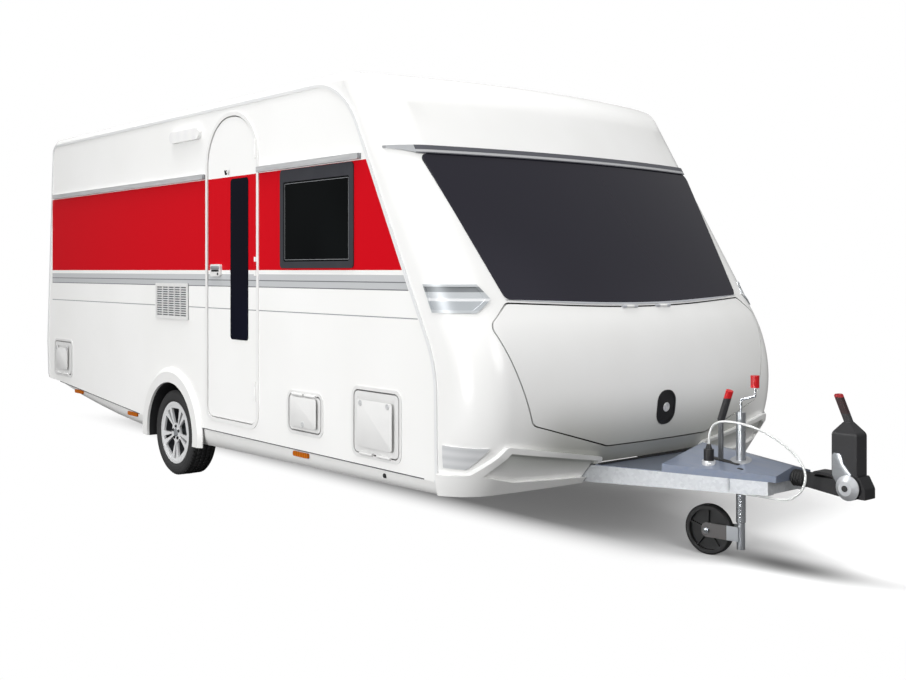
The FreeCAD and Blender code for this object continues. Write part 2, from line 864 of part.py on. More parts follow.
def inner_trim_points():
    """Region inside the side panel that keeps the trim off the foot of the wall."""
    inset = edge_trim_width / 2 + edge_trim_proud
    return [
        (seam_foot - inset, 0, 0),
        (seam_foot - inset, body_foot + edge_trim_width, 0),
        (edge_radius + inset - rear_reach, rear_foot_height + edge_trim_width, 0),
        (edge_radius + inset - rear_reach, 0, 0),
    ]


def wheel_arch_trims():
    """Flared trims round the wheel openings."""
    outer = arch_radius + arch_trim_width
    ring = Part.makeCylinder(outer, arch_trim_depth, Vector(0, half_width, axle_height), Vector(0, 1, 0))
    ring = ring.cut(Part.makeCylinder(arch_radius, arch_trim_depth, Vector(0, half_width, axle_height),
                                      Vector(0, 1, 0)))
    ring = ring.cut(block(-outer, outer, half_width, half_width + arch_trim_depth, -outer, arch_trim_foot))
    slope = Part.makeCone(outer + arch_trim_depth / 3, outer - arch_trim_depth, arch_trim_depth,
                          Vector(0, half_width, axle_height), Vector(0, 1, 0))
    return both_sides(ring.common(slope))


def skirts():
    """Panels below the side walls, ahead of and behind the wheels."""
    outer = half_width - skirt_inset
    front = [(skirt_front_span[0], skirt_front_heights[0], 0), (skirt_front_span[1], skirt_front_heights[1], 0),
             (skirt_front_span[1], body_foot, 0), (skirt_front_span[0], body_foot, 0)]
    rear_top = foot_rise(skirt_rear_span[0])
    rear = [(skirt_rear_span[0], skirt_rear_heights[0], 0), (skirt_rear_span[1], skirt_rear_heights[1], 0),
            (skirt_rear_span[1], body_foot, 0), (-rear_rise_start, body_foot, 0),
            (skirt_rear_span[0], rear_top, 0)]
    pieces = [prism_xz(points, outer - skirt_wall, outer) for points in (front, rear)]
    return Part.makeCompound(pieces + [mirrored(piece) for piece in pieces])


def side_markers():
    length, height, depth = marker_size
    face = half_width - skirt_inset
    pieces = []
    for x in marker_places:
        z = max(body_foot, foot_rise(x)) - marker_drop
        points = rectangle(x - length / 2, x + length / 2, z - height / 2, z + height / 2, height / 3)
        pieces.append(prism_xz(points, face, face + depth))
    return Part.makeCompound(pieces + [mirrored(piece) for piece in pieces])


def foot_rise(x):
    """Height of the walls' foot behind the wheels, which rises to the rear."""
    share = (-x - rear_rise_start) / (rear_reach - rear_foot_setback - rear_rise_start)
    return body_foot + share * (rear_foot_height - body_foot)


def floor_kink():
    """Place where the floor starts to rise with the walls' foot."""
    share = (floor_bottom - body_foot) / (rear_foot_height - body_foot)
    return -rear_rise_start - share * (rear_reach - rear_foot_setback - rear_rise_start)


def floor_panel():
    """Sandwich floor between the walls, rising at the rear and cut away over the wheels."""
    wide = half_width + overrun
    far = -2 * rear_reach
    side_view = [(front_reach, floor_bottom, 0), (front_reach, floor_top, 0), (floor_kink(), floor_top, 0),
                 (far, foot_rise(far) + floor_thickness, 0), (far, foot_rise(far), 0),
                 (floor_kink(), floor_bottom, 0)]
    slab = skin_form(wall).common(prism_xz(side_view, -wide, wide))
    well = arch_radius + housing_wall
    hole = block(-well, well, housing_inner - housing_wall, wide, 0, roof_height)
    return slab.cut([hole, mirrored(hole)]).Solids[0]


def wheel_housings():
    """Closed half drums over the wheels, let into the floor."""
    outer = half_width - wall
    well = arch_radius + housing_wall
    drum = arch_cut(well, housing_inner - housing_wall, outer)
    room = arch_cut(arch_radius, housing_inner, outer + overrun)
    shell = drum.cut(room)
    shell = shell.cut(block(-well, well, 0, half_width, -well, floor_bottom))
    return both_sides(shell)


def chassis_rails():
    """Two lengthwise channels with cross members, carrying the floor."""
    low = floor_bottom - rail_height
    kink = floor_kink()
    end_top = foot_rise(-rail_rear)
    side_view = [(rail_front, floor_bottom, 0), (kink, floor_bottom, 0), (-rail_rear, end_top, 0),
                 (-rail_rear, end_top - rail_height / 2, 0), (kink, low, 0), (rail_front, low, 0)]
    inner_view = [(rail_front + overrun, floor_bottom - steel, 0), (kink, floor_bottom - steel, 0),
                  (-rail_rear - overrun, foot_rise(-rail_rear - overrun) - steel, 0),
                  (-rail_rear - overrun, end_top - rail_height / 2 + steel, 0), (kink, low + steel, 0),
                  (rail_front + overrun, low + steel, 0)]
    rail = prism_xz(side_view, rail_web_y, rail_web_y + rail_flange)
    rail = rail.cut(prism_xz(inner_view, rail_web_y + steel, rail_web_y + rail_flange + overrun))
    tube = Part.makeCylinder(axle_tube_radius + seat_gap, 3 * rail_flange,
                             Vector(axle_tube_ahead, rail_web_y - overrun, axle_height + axle_tube_rise),
                             Vector(0, 1, 0))
    rail = rail.cut(tube)
    pieces = [mirrored(rail)]
    for x in cross_member_places:
        top = max(floor_bottom, foot_rise(x))
        member = block(x, x + steel, -rail_web_y, rail_web_y, top - rail_height / 2, top - steel)
        pieces.append(member)
    return rail.fuse(pieces).removeSplitter()


def axle():
    """Torsion axle tube with trailing arms, stubs and brake drums."""
    tube_z = axle_height + axle_tube_rise
    reach = wheel_middle - tyre_width / 2 - drum_width / 2
    tube_end = Vector(axle_tube_ahead, reach, tube_z)
    tube = rod(Vector(axle_tube_ahead, -reach, tube_z), tube_end, axle_tube_radius)
    bore = axle_tube_radius - axle_tube_wall
    tube = tube.cut(rod(Vector(axle_tube_ahead, -reach, tube_z), tube_end, bore))
    arm = arm_form(reach - arm_thickness, reach)
    drum_in = reach
    drum_out = wheel_middle - drum_width / 2
    drum = rod(Vector(0, drum_in, axle_height), Vector(0, drum_out, axle_height), drum_radius)
    hub_face = wheel_middle + tyre_width / 2 * dish_share - seat_gap
    hub = rod(Vector(0, drum_out - bond, axle_height), Vector(0, hub_face, axle_height), drum_radius / 2)
    bracket = block(axle_tube_ahead - axle_tube_radius, axle_tube_ahead + axle_tube_radius,
                    rail_web_y - 2 * steel, rail_web_y, tube_z - axle_tube_radius, floor_bottom - steel)
    bracket = bracket.cut(rod(Vector(axle_tube_ahead, 0, tube_z), tube_end, bore))
    half = arm.fuse([drum, hub, bracket])
    return tube.fuse([half, mirrored(half)]).removeSplitter()


def arm_form(y_from, y_to):
    """Trailing arm from the axle tube back to the wheel's stub."""
    tube_z = axle_height + axle_tube_rise
    outer = 1.4 * axle_tube_radius
    ends = [Part.makeCylinder(outer, y_to - y_from, Vector(x, y_from, z), Vector(0, 1, 0))
            for x, z in ((0, axle_height), (axle_tube_ahead, tube_z))]
    length = math.hypot(axle_tube_ahead, axle_tube_rise)
    side_x, side_z = -axle_tube_rise / length * outer, axle_tube_ahead / length * outer
    web = prism_xz([(side_x, axle_height + side_z, 0), (-side_x, axle_height - side_z, 0),
                    (axle_tube_ahead - side_x, tube_z - side_z, 0),
                    (axle_tube_ahead + side_x, tube_z + side_z, 0)], y_from, y_to)
    return ends[0].fuse([ends[1], web])


def tyre(side):
    """Road tyre, a ring with sloped shoulders and bulged side walls over the rim's flanges."""
    half = tyre_width / 2
    seat = half * bead_share
    bead = rim_radius + seat_gap
    flange = rim_radius + rim_flange + 2 * seat_gap
    outer = tyre_diameter / 2
    half_view = [(seat, bead), (seat, flange)]
    half_view += [(half * across, flange + (outer - flange) * up) for across, up in tyre_side_shares]
    points = [(wheel_middle + u, v, 0) for u, v in half_view]
    points += [(wheel_middle - u, v, 0) for u, v in reversed(half_view)]
    return spun_wheel(points, side)


def spun_wheel(points, side):
    """Ring turned about the wheel axis from an outline of places across and radii."""
    face = Part.Face(outline(points, lambda u, v: Vector(0, u, axle_height + v)))
    ring = face.revolve(Vector(0, 0, axle_height), Vector(0, 1, 0), 360)
    return ring if side == "left" else mirrored(ring)


def rim(side):
    """Alloy wheel with pairs of spokes round a closed hub."""
    half = tyre_width / 2
    lip = half * bead_share + seat_gap
    inner = rim_radius - rim_thickness
    barrel_points = [(wheel_middle - lip, rim_radius, 0), (wheel_middle - lip, inner, 0),
                     (wheel_middle + lip, inner, 0), (wheel_middle + lip, rim_radius, 0)]
    hub_radius = drum_radius / 2
    dish_back = wheel_middle + half * dish_share
    dish_front = dish_back + 2 * rim_thickness
    dish_points = [(dish_back, 0, 0), (dish_back, hub_radius, 0), (dish_back + dish_rise, inner, 0),
                   (dish_front + dish_rise, inner, 0), (dish_front, hub_radius, 0), (dish_front, 0, 0)]
    barrel = spun_wheel(barrel_points, "left")
    for out in (-1, 1):
        near, far = wheel_middle + out * lip, wheel_middle + out * (lip + rim_thickness)
        flange = [(near, inner, 0), (far, inner, 0), (far, rim_radius + rim_flange, 0),
                  (near, rim_radius + rim_flange, 0)]
        barrel = barrel.fuse(spun_wheel(flange, "left"))
    dish = spun_wheel(dish_points, "left")
    for index in range(spoke_pairs):
        turn = 360.0 / spoke_pairs
        for step, share in enumerate(wheel_window_shares):
            dish = dish.cut(spoke_window((index + step / 2) * turn, share, hub_radius, inner, dish_back))
    wheel = barrel.fuse(dish).removeSplitter()
    return wheel if side == "left" else mirrored(wheel)


def spoke_window(angle, width_share, hub_radius, inner, y_from):
    """Opening between two spokes, wider towards the rim."""
    turn = math.pi / spoke_pairs * width_share
    near, far = hub_radius * 1.15, inner * 0.93
    radius = near * math.sin(turn) * 0.4
    points = [(near * math.sin(-turn), near * math.cos(turn), radius),
              (near * math.sin(turn), near * math.cos(turn), radius),
              (far * math.sin(turn * 0.9), far * math.cos(turn * 0.9), radius),
              (far * math.sin(-turn * 0.9), far * math.cos(turn * 0.9), radius)]
    place = lambda u, v: Vector(u, y_from - overrun, axle_height + v)
    cutter = prism(points, place, Vector(0, 3 * overrun, 0))
    cutter.rotate(Vector(0, 0, axle_height), Vector(0, 1, 0), angle)
    return cutter


def drawbar_spread_at(x):
    """Half width over the A-frame's side members at this place."""
    return nose_half_width + (nose_x - x) * drawbar_spread


def drawbar_rail(inset, reach_in):
    """One side member of the A-frame, as an outline from above crossed with one from the side."""
    outer = rail_web_y - inset
    inner = rail_web_y - drawbar_thickness - reach_in
    front = nose_x + (overrun if reach_in else 0)
    nose_outer = drawbar_spread_at(front) - inset
    nose_inner = drawbar_spread_at(front) - drawbar_thickness - reach_in
    rear = drawbar_rear - (overrun if reach_in else 0)
    top_view = [(rear, inner, 0), (rear, outer, 0), (drawbar_bend, outer, 0), (front, nose_outer, 0),
                (front, nose_inner, 0), (drawbar_bend, inner, 0)]
    side_view = [(rear, drawbar_rear_bottom + inset, 0), (drawbar_bend, drawbar_rear_bottom + inset, 0),
                 (front, drawbar_nose_bottom + inset, 0), (front, drawbar_top - inset, 0),
                 (rear, drawbar_top - inset, 0)]
    return prism_xy(top_view, 0, roof_height).common(prism_xz(side_view, -half_width, half_width))


def drawbar():
    """A-frame of two tapering channels, open inward, joined by a cross plate and the nose plate."""
    channel = drawbar_rail(0, 0).cut(drawbar_rail(steel, overrun))
    plate_half = drawbar_spread_at(cross_plate_x) - drawbar_thickness + 2 * steel
    plate = block(cross_plate_x - steel, cross_plate_x, -plate_half, plate_half,
                  drawbar_top - rail_height / 2, drawbar_top)
    nose = block(shaft_rear, nose_x, -nose_half_width + steel, nose_half_width - steel,
                 drawbar_nose_bottom + steel, drawbar_top)
    shaft_hole = rod(Vector(shaft_rear - overrun, 0, hitch_height),
                     Vector(nose_x + overrun, 0, hitch_height), shaft_radius + seat_gap)
    clamp_half = mast_radius + 3 * steel
    clamp = block(mast_x - clamp_half, mast_x + clamp_half, -drawbar_spread_at(mast_x) + steel,
                  mast_y + clamp_half, drawbar_nose_bottom + 2 * steel, drawbar_top)
    mast_hole = Part.makeCylinder(mast_radius + seat_gap, roof_height, Vector(mast_x, mast_y, 0))
    frame = channel.fuse([mirrored(channel), plate, nose, clamp])
    return frame.cut([shaft_hole, mast_hole]).removeSplitter()


def cover_ridge(x):
    """Height of the cover's ridge, which falls toward the nose."""
    return drawbar_top + cover_nose_height + (cover_front - x) * cover_climb


def cover_form(inset, foot_drop):
    """Block over the A-frame with a ridge along its middle, used for the cover and for its inside."""
    rear, nose = cover_step + inset, cover_front - inset
    rear_half = drawbar_spread_at(rear) - inset
    nose_half = drawbar_spread_at(nose) - inset
    low = drawbar_top - foot_drop
    sides = prism_xy([(rear, -rear_half, 0), (nose, -nose_half, 0), (nose, nose_half, 0), (rear, rear_half, 0)],
                     low, roof_height)
    ridge_view = [(rear, 0, 0), (nose, 0, 0), (nose, cover_ridge(nose) - inset, 0),
                  (rear, cover_ridge(rear) - inset, 0)]
    slope = prism(ridge_view, in_xz(0), Vector(0, half_width, -half_width * cover_side_fall))
    return sides.common(slope.fuse(mirrored(slope))).removeSplitter().Solids[0]


def drawbar_cover():
    """Thin metal cover over the A-frame: a raised front part, and a flat sheet that runs under the body."""
    shell = cover_form(0, 0).cut(cover_form(cover_wall, bond))
    rear_half = drawbar_spread_at(cover_sheet_rear)
    step_half = drawbar_spread_at(cover_step)
    sheet = prism_xy([(cover_sheet_rear, -rear_half, 0), (cover_step, -step_half, 0), (cover_step, step_half, 0),
                      (cover_sheet_rear, rear_half, 0)], drawbar_top, drawbar_top + cover_wall)
    mast_hole = Part.makeCylinder(2 * mast_radius, roof_height, Vector(mast_x, mast_y, 0))
    length, width = lever_slot
    slot = block(lever_x - length / 2, lever_x + length / 2, lever_y - width / 2, lever_y + width / 2,
                 drawbar_top, roof_height)
    front_hole = rod(Vector(nose_x, 0, hitch_height), Vector(nose_x + 3 * overrun, 0, hitch_height),
                     shaft_radius + seat_gap)
    return shell.fuse(sheet).cut([mast_hole, slot, front_hole]).removeSplitter().Solids[0]


def hitch_shaft():
    return rod(Vector(shaft_rear, 0, hitch_height), Vector(shaft_front, 0, hitch_height), shaft_radius)


def bellows():
    """Rubber bellows over the overrun shaft."""
    start, end = bellows_span
    pitch = (end - start) / bellows_folds
    bore = shaft_radius + seat_gap
    points = [(start, bore, 0)]
    for index in range(bellows_folds):
        crest = bellows_radius - index * (bellows_radius - bore) / bellows_folds / 4
        points += [(start + index * pitch, crest * 0.84, 0), (start + (index + 0.5) * pitch, crest, 0)]
    points += [(end, bellows_radius * 0.8, 0), (end, bore, 0)]
    face = Part.Face(outline(points, lambda u, v: Vector(u, 0, hitch_height + v)))
    return face.revolve(Vector(0, 0, hitch_height), Vector(1, 0, 0), 360)


def coupling_head():
    """Ball coupling with its socket open below, a release grip above and friction pads at its sides."""
    start, end = head_span
    low = hitch_height - head_half_height
    ball_z = hitch_height - head_half_height / 4
    side_view = [(start, hitch_height - shaft_radius - steel, 0), (ball_x - cheek_radius, low, overrun),
                 (end, low, 0), (end, hitch_height, overrun), (end - overrun, head_top, 0),
                 (release_slot[0], head_top, overrun / 2), (start, hitch_height + shaft_radius + steel, 0)]
    body = prism_xz(side_view, -head_half_width, head_half_width)
    slot_low, slot_high = release_slot_heights
    slot = prism_xz(rectangle(*release_slot, slot_low, slot_high, steel), -half_width, half_width)
    pad = rod(Vector(ball_x, 0, hitch_height), Vector(ball_x, cheek_rim, hitch_height), cheek_radius)
    dome = Part.makeCone(cheek_radius, cheek_crown_radius, cheek_reach - cheek_rim,
                         Vector(ball_x, cheek_rim, hitch_height), Vector(0, 1, 0))
    cap_radius, cap_depth = cheek_cap
    cap = rod(Vector(ball_x, cheek_rim, hitch_height), Vector(ball_x, cheek_reach + cap_depth, hitch_height),
              cap_radius)
    cheek = pad.fuse([dome, cap])
    ball = Part.makeSphere(ball_radius, Vector(ball_x, 0, ball_z))
    mouth = rod(Vector(ball_x, 0, low - 2 * overrun), Vector(ball_x, 0, ball_z), ball_radius)
    bore = rod(Vector(start - bond, 0, hitch_height), Vector(shaft_front + seat_gap, 0, hitch_height),
               shaft_radius + seat_gap)
    head = body.cut(slot).fuse([cheek, mirrored(cheek)]).cut([ball, mouth, bore, handle_form(seat_gap)])
    return head.removeSplitter().Solids[0]


def handle_form(grow):
    """Handle's broad lower part, rounded at its shoulders in both views, larger by a margin."""
    rear, front = handle_span[0] - grow, handle_span[1] + grow
    half = handle_width / 2 + grow
    neck = handle_grip / 2
    foot = handle_foot - grow
    side_view = [(rear, foot, 0), (front, foot, 0), (front, handle_shoulder, handle_corner),
                 (handle_neck_x + neck, handle_neck + grow, 0), (handle_neck_x - neck, handle_neck + grow, 0),
                 (rear, handle_shoulder, handle_corner)]
    front_view = [(-half, foot, 0), (half, foot, 0), (half, handle_shoulder, handle_corner),
                  (neck, handle_neck + grow, 0), (-neck, handle_neck + grow, 0),
                  (-half, handle_shoulder, handle_corner)]
    return prism_xz(side_view, -half_width, half_width).common(prism_yz(front_view, 0, 2 * front_reach))


def stabiliser_handle():
    """Upright handle that presses the friction pads, broad below and with a slim grip that leans back."""
    half = handle_grip / 2
    grip_view = [(handle_neck_x - half, handle_shoulder, 0), (handle_neck_x + half, handle_shoulder, 0),
                 (handle_neck_x + half, handle_neck, 0), (handle_tip_x + half, handle_top, half / 2),
                 (handle_tip_x - half, handle_top, half / 2), (handle_neck_x - half, handle_neck, 0)]
    grip = prism_xz(grip_view, -handle_grip_width / 2, handle_grip_width / 2)
    return handle_form(0).fuse(grip).removeSplitter().Solids[0]


def handbrake_lever():
    """Flat upright lever with a round grip that leans forward, standing in the cover's slot."""
    foot_z = drawbar_top - steel
    width, thickness = lever_stem
    bend = Vector(lever_x, lever_y, lever_bend)
    tip = Vector(lever_tip[0], lever_y, lever_tip[1])
    grip = rod(bend, tip, lever_grip_radius)
    stem = block(lever_x - width / 2, lever_x + width / 2, lever_y - thickness / 2, lever_y + thickness / 2,
                 foot_z, lever_bend + width / 2)
    hub = rod(Vector(lever_x, lever_y - thickness, foot_z), Vector(lever_x, lever_y + thickness, foot_z),
              lever_hub_radius)
    bracket_half = drawbar_spread_at(lever_x) - 3 * steel
    bracket = block(lever_x - width / 2, lever_x + width / 2, -bracket_half, lever_y, foot_z - steel, foot_z)
    return stem.fuse([grip, hub, bracket]).removeSplitter()


def jockey_mast():
    """Outer tube of the jockey gear with its crank, held in the clamp."""
    tube = Part.makeCylinder(mast_radius, mast_top - mast_foot, Vector(mast_x, mast_y, mast_foot))
    bore = Part.makeCylinder(mast_radius - mast_wall, mast_top - mast_foot - mast_wall,
                             Vector(mast_x, mast_y, mast_foot))
    tube = tube.cut(bore)
    spindle_top = Vector(mast_x, mast_y, crank_height)
    spindle = rod(Vector(mast_x, mast_y, mast_top - mast_wall), spindle_top, crank_rod)
    elbow = Vector(mast_x + crank_reach[0], mast_y + crank_reach[1], crank_height + crank_rise)
    arm = rod(spindle_top, elbow, crank_rod)
    knob_foot = Vector(elbow.x, elbow.y, knob_heights[0])
    stub = rod(elbow, knob_foot + Vector(0, 0, bond), crank_rod)
    knob = rod(knob_foot, Vector(elbow.x, elbow.y, knob_heights[1]), knob_radius)
    joints = [Part.makeSphere(crank_rod, place) for place in (spindle_top, elbow)]
    return tube.fuse([spindle, arm, stub, knob] + joints).removeSplitter()


def jockey_leg():
    """Inner tube that slides in the mast."""
    return Part.makeCylinder(leg_radius, leg_top - leg_foot, Vector(mast_x, mast_y, leg_foot))


def swivelled(shape):
    """Jockey piece modelled straight behind the mast, turned to where it stands when parked."""
    shape.rotate(Vector(mast_x, mast_y, 0), Vector(0, 0, 1), jockey_turn)
    return shape


def jockey_fork():
    """Swivelling tube below the leg, with two flat arms that reach back to the wheel's hub."""
    top = leg_foot - seat_gap
    half = jockey_width / 2 + 2 * steel
    inner = jockey_width / 2 + steel
    wheel_x = mast_x - jockey_trail
    low, high = fork_heights
    tube = Part.makeCylinder(leg_radius, top - swivel_foot, Vector(mast_x, mast_y, swivel_foot))
    arms = []
    for y_from, y_to in ((-half, -inner), (inner, half)):
        side_view = [(mast_x, low, 0), (mast_x, high, 0), (wheel_x - fork_end_radius, high, fork_end_radius),
                     (wheel_x - fork_end_radius, low, fork_end_radius)]
        arms.append(prism_xz(side_view, mast_y + y_from, mast_y + y_to))
    bridge = block(mast_x - leg_radius - steel, mast_x, mast_y - half, mast_y + half, low, high)
    return swivelled(tube.fuse(arms + [bridge]).removeSplitter())


def jockey_wheel():
    """Small solid wheel: a rubber ring on a thin web with ribs, and a hub that fills the fork."""
    half = jockey_width / 2
    wheel_x = mast_x - jockey_trail
    hub_half = half + steel - seat_gap
    axis = Vector(0, 1, 0)
    points = [(-half, jockey_bead_radius, 0), (-half, jockey_radius - jockey_crown, 0),
              (-half + jockey_crown, jockey_radius, 0), (half - jockey_crown, jockey_radius, 0),
              (half, jockey_radius - jockey_crown, 0), (half, jockey_bead_radius, 0)]
    face = Part.Face(outline(points, lambda u, v: Vector(wheel_x, mast_y + u, jockey_radius + v)))
    ring = face.revolve(Vector(wheel_x, mast_y, jockey_radius), axis, 360)
    web = Part.makeCylinder(jockey_bead_radius + bond, jockey_web,
                            Vector(wheel_x, mast_y - jockey_web / 2, jockey_radius), axis)
    hub = Part.makeCylinder(jockey_hub_radius, 2 * hub_half, Vector(wheel_x, mast_y - hub_half, jockey_radius), axis)
    ribs = []
    for index in range(jockey_ribs):
        rib = block(wheel_x - jockey_web / 2, wheel_x + jockey_web / 2, mast_y - jockey_rib_width / 2,
                    mast_y + jockey_rib_width / 2, jockey_radius, jockey_radius + jockey_bead_radius + bond)
        rib.rotate(Vector(wheel_x, mast_y, jockey_radius), axis, index * 360.0 / jockey_ribs)
        ribs.append(rib)
    return swivelled(ring.fuse([web, hub] + ribs).removeSplitter())


def steady_pin(pivot_x, y, radius):
    """Pivot pin of a steady, through both plates of its bracket."""
    reach = steady_width / 2 + 2 * steel
    z = steady_pivot_height - steady_depth / 2
    return rod(Vector(pivot_x, y - reach, z), Vector(pivot_x, y + reach, z), radius)


def steady(pivot_x, y):
    """Corner steady, a channel folded up under the floor with a foot plate at its free end."""
    direction = -1 if pivot_x > 0 else 1
    end = pivot_x + direction * steady_length
    low, high = steady_pivot_height - steady_depth, steady_pivot_height
    near, far = sorted((pivot_x - direction * steady_tail, end))
    arm = block(near, far, y - steady_width / 2, y + steady_width / 2, low, high)
    channel = block(near + steel, far - steel, y - steady_width / 2 + steel, y + steady_width / 2 - steel,
                    low - bond, high - steel)
    foot_near, foot_far = sorted((end, end - direction * steady_foot))
    foot = block(foot_near, foot_far, y - steady_width, y + steady_width, low - steel, low)
    return arm.cut(channel).fuse([foot, steady_pin(pivot_x, y, steady_pin_radius)]).removeSplitter()


def steady_brackets():
    """Brackets below the floor that carry the corner steadies."""
    pieces = []
    for pivot_x in (steady_front_pivot, steady_rear_pivot):
        for y in (-steady_y, steady_y):
            hole = steady_pin(pivot_x, y, steady_pin_radius + seat_gap)
            for side in (-1, 1):
                inner = y + side * (steady_width / 2 + seat_gap)
                outer = inner + side * steel
                near, far = sorted((inner, outer))
                top = max(floor_bottom, foot_rise(pivot_x + steady_bracket / 2))
                plate = block(pivot_x - steady_bracket / 2, pivot_x + steady_bracket / 2, near, far,
                              steady_pivot_height - steady_depth, top)
                pieces.append(plate.cut(hole))
    return Part.makeCompound(pieces)


def door_hinge_centres():
    """Hinge line at the door's front edge, on the left side before it is mirrored."""
    return [Vector(door_span[1], half_width + hinge_proud, z) for z in hinge_heights]


def door_frame():
    """Frame that lines the door opening, with the fixed hinge barrels."""
    ring = prism_xz(door_points(door_gap + door_frame_width), half_width - wall, half_width + door_frame_proud)
    ring = ring.cut(prism_xz(door_points(door_gap), half_width - wall - overrun, half_width + overrun))
    up = Vector(0, 0, 1)
    for centre in door_hinge_centres():
        ring = ring.fuse(knuckles(centre, up, False)).cut(knuckle_room(centre, up, True))
    return mirrored(ring.removeSplitter())


def door_leaf():
    """Entrance door with its window opening and its hinge barrels."""
    leaf = prism_xz(door_points(0), half_width - wall, half_width)
    leaf = leaf.cut(prism_xz(door_window_points(), half_width - wall - overrun, half_width + overrun))
    up = Vector(0, 0, 1)
    for centre in door_hinge_centres():
        leaf = leaf.fuse(knuckles(centre, up, True)).cut(knuckle_room(centre, up, False))
    return mirrored(leaf.removeSplitter())


def door_window_points():
    return rectangle(*door_window_span, *door_window_heights, door_window_radius)


def door_window():
    return mirrored(prism_xz(door_window_points(), half_width - pane_thickness, half_width + pane_proud))


def door_handle():
    """Square lock housing on the door's free edge."""
    points = rectangle(*door_handle_span, *door_handle_heights, door_handle_depth)
    return mirrored(prism_xz(points, half_width, half_width + door_handle_depth))


def flap_hinge_centres(span, edge):
    """Two hinges on the flap's lower or upper edge."""
    rear, front, low, high = span
    z = low - flap_gap / 2 if edge == "foot" else high + flap_gap / 2
    inset = (front - rear) * flap_knuckle_share
    return [Vector(x, half_width + hinge_proud, z) for x in (rear + inset, front - inset)]


def flap(span, edge):
    """Service flap with a shallow panel pressed into its face, and its hinge barrels."""
    leaf = prism_xz(flap_points(span, 0), half_width - wall, half_width + flap_proud)
    leaf = leaf.cut(prism_xz(flap_points(span, -flap_radius), half_width, half_width + overrun))
    along = Vector(1, 0, 0)
    for centre in flap_hinge_centres(span, edge):
        leaf = leaf.fuse(knuckles(centre, along, True)).cut(knuckle_room(centre, along, False))
    return mirrored(leaf.removeSplitter())


def flap_frames():
    """Frames round the service flaps, with the fixed hinge barrels."""
    along = Vector(1, 0, 0)
    rings = []
    for span, edge in flaps:
        ring = prism_xz(flap_points(span, flap_gap + flap_frame_width), half_width - wall,
                        half_width + flap_frame_proud)
        ring = ring.cut(prism_xz(flap_points(span, flap_gap), half_width - wall - overrun,
                                 half_width + overrun))
        for centre in flap_hinge_centres(span, edge):
            ring = ring.fuse(knuckles(centre, along, False)).cut(knuckle_room(centre, along, True))
        rings.append(mirrored(ring.removeSplitter()))
    return Part.makeCompound(rings)


def pane_points(span):
    """Glass of a side window, inside a frame that is broader at its head."""
    rear, front, low, high = grown(span, -window_frame_width)
    return rectangle(rear, front, low, high + window_frame_width - window_header, side_window_radius / 2)


def window_ring(span):
    """Frame of a side window, seated in the wall's opening."""
    ring = prism_xz(rectangle(*span, side_window_radius), half_width - wall, half_width + window_frame_proud)
    return ring.cut(prism_xz(pane_points(span), half_width - 2 * wall, half_width + overrun))


def window_pane(span):
    return prism_xz(pane_points(span), half_width - pane_thickness, half_width + pane_proud)


def rear_frame():
    """Frame of the rear window, following the leaning rear wall."""
    ring = layer(-window_frame_proud, wall, rear_window_points(0), ahead=False)
    return ring.cut(rear_prism(rear_window_points(window_frame_width))).Solids[0]


def window_frames():
    rings = [window_ring(span) for span in left_windows] + [mirrored(window_ring(right_window)), rear_frame()]
    return Part.makeCompound(rings)


def window_panes():
    panes = [window_pane(span) for span in left_windows] + [mirrored(window_pane(right_window))]
    panes.append(layer(-pane_proud, pane_thickness, rear_window_points(window_frame_width), ahead=False).Solids[0])
    return Part.makeCompound(panes)


def window_rails():
    """Light alloy rails above the right side's windows."""
    strips = []
    for start, end in rail_strips:
        points = rectangle(start, end, rail_strip_z - rail_strip_height / 2, rail_strip_z + rail_strip_height / 2,
                           rail_strip_height / 4)
        strips.append(mirrored(prism_xz(points, half_width, half_width + rail_strip_proud)))
    return Part.makeCompound(strips)


def vent_grille():
    """Louvred grille with columns of slots in a framed plate."""
    plate = prism_xz(rectangle(*vent_span, *vent_heights, vent_border / 2), half_width, half_width + vent_proud)
    x_from, x_to = vent_span[0] + vent_border, vent_span[1] - vent_border
    z_from, z_to = vent_heights[0] + vent_border, vent_heights[1] - vent_border
    column = (x_to - x_from + vent_bar) / vent_columns
    row = (z_to - z_from) / vent_rows
    slots = []
    for i in range(vent_columns):
        for j in range(vent_rows):
            x = x_from + i * column
            z = z_from + (j + 0.5) * row
            slots.append(block(x, x + column - vent_bar, half_width + vent_proud / 3, half_width + overrun,
                               z - vent_slot_height / 2, z + vent_slot_height / 2))
    return mirrored(plate.cut(slots))


def awning_lamp():
    length, height, depth = awning_lamp_size
    points = rectangle(awning_lamp_x - length / 2, awning_lamp_x + length / 2, awning_lamp_z - height / 2,
                       awning_lamp_z + height / 2, height * 0.45)
    return mirrored(prism_xz(points, half_width, half_width + depth))


def rear_lamps():
    width, height = rear_lamp_size
    points = rectangle(rear_lamp_half - width / 2, rear_lamp_half + width / 2, rear_lamp_height - height / 2,
                       rear_lamp_height + height / 2, width / 5)
    return both_sides(layer(-rear_lamp_proud, 0, points, ahead=False).Solids[0])


def rear_bumper():
    """Moulded band across the foot of the rear wall with a flat place for the number plate."""
    low, high = rear_bumper_heights
    half = rear_lamp_half + rear_lamp_size[0] / 2
    points = arch_points(half, low, high, side_corner_radius)
    band = layer(-rear_bumper_proud, 0, points, ahead=False)
    plate = rear_prism(arch_points(plate_size[0] / 2, plate_height - plate_size[1] / 2,
                                   plate_height + plate_size[1] / 2, plate_depth))
    recess = plate.cut(skin_form(plate_depth - rear_bumper_proud))
    return band.cut(recess).Solids[0]


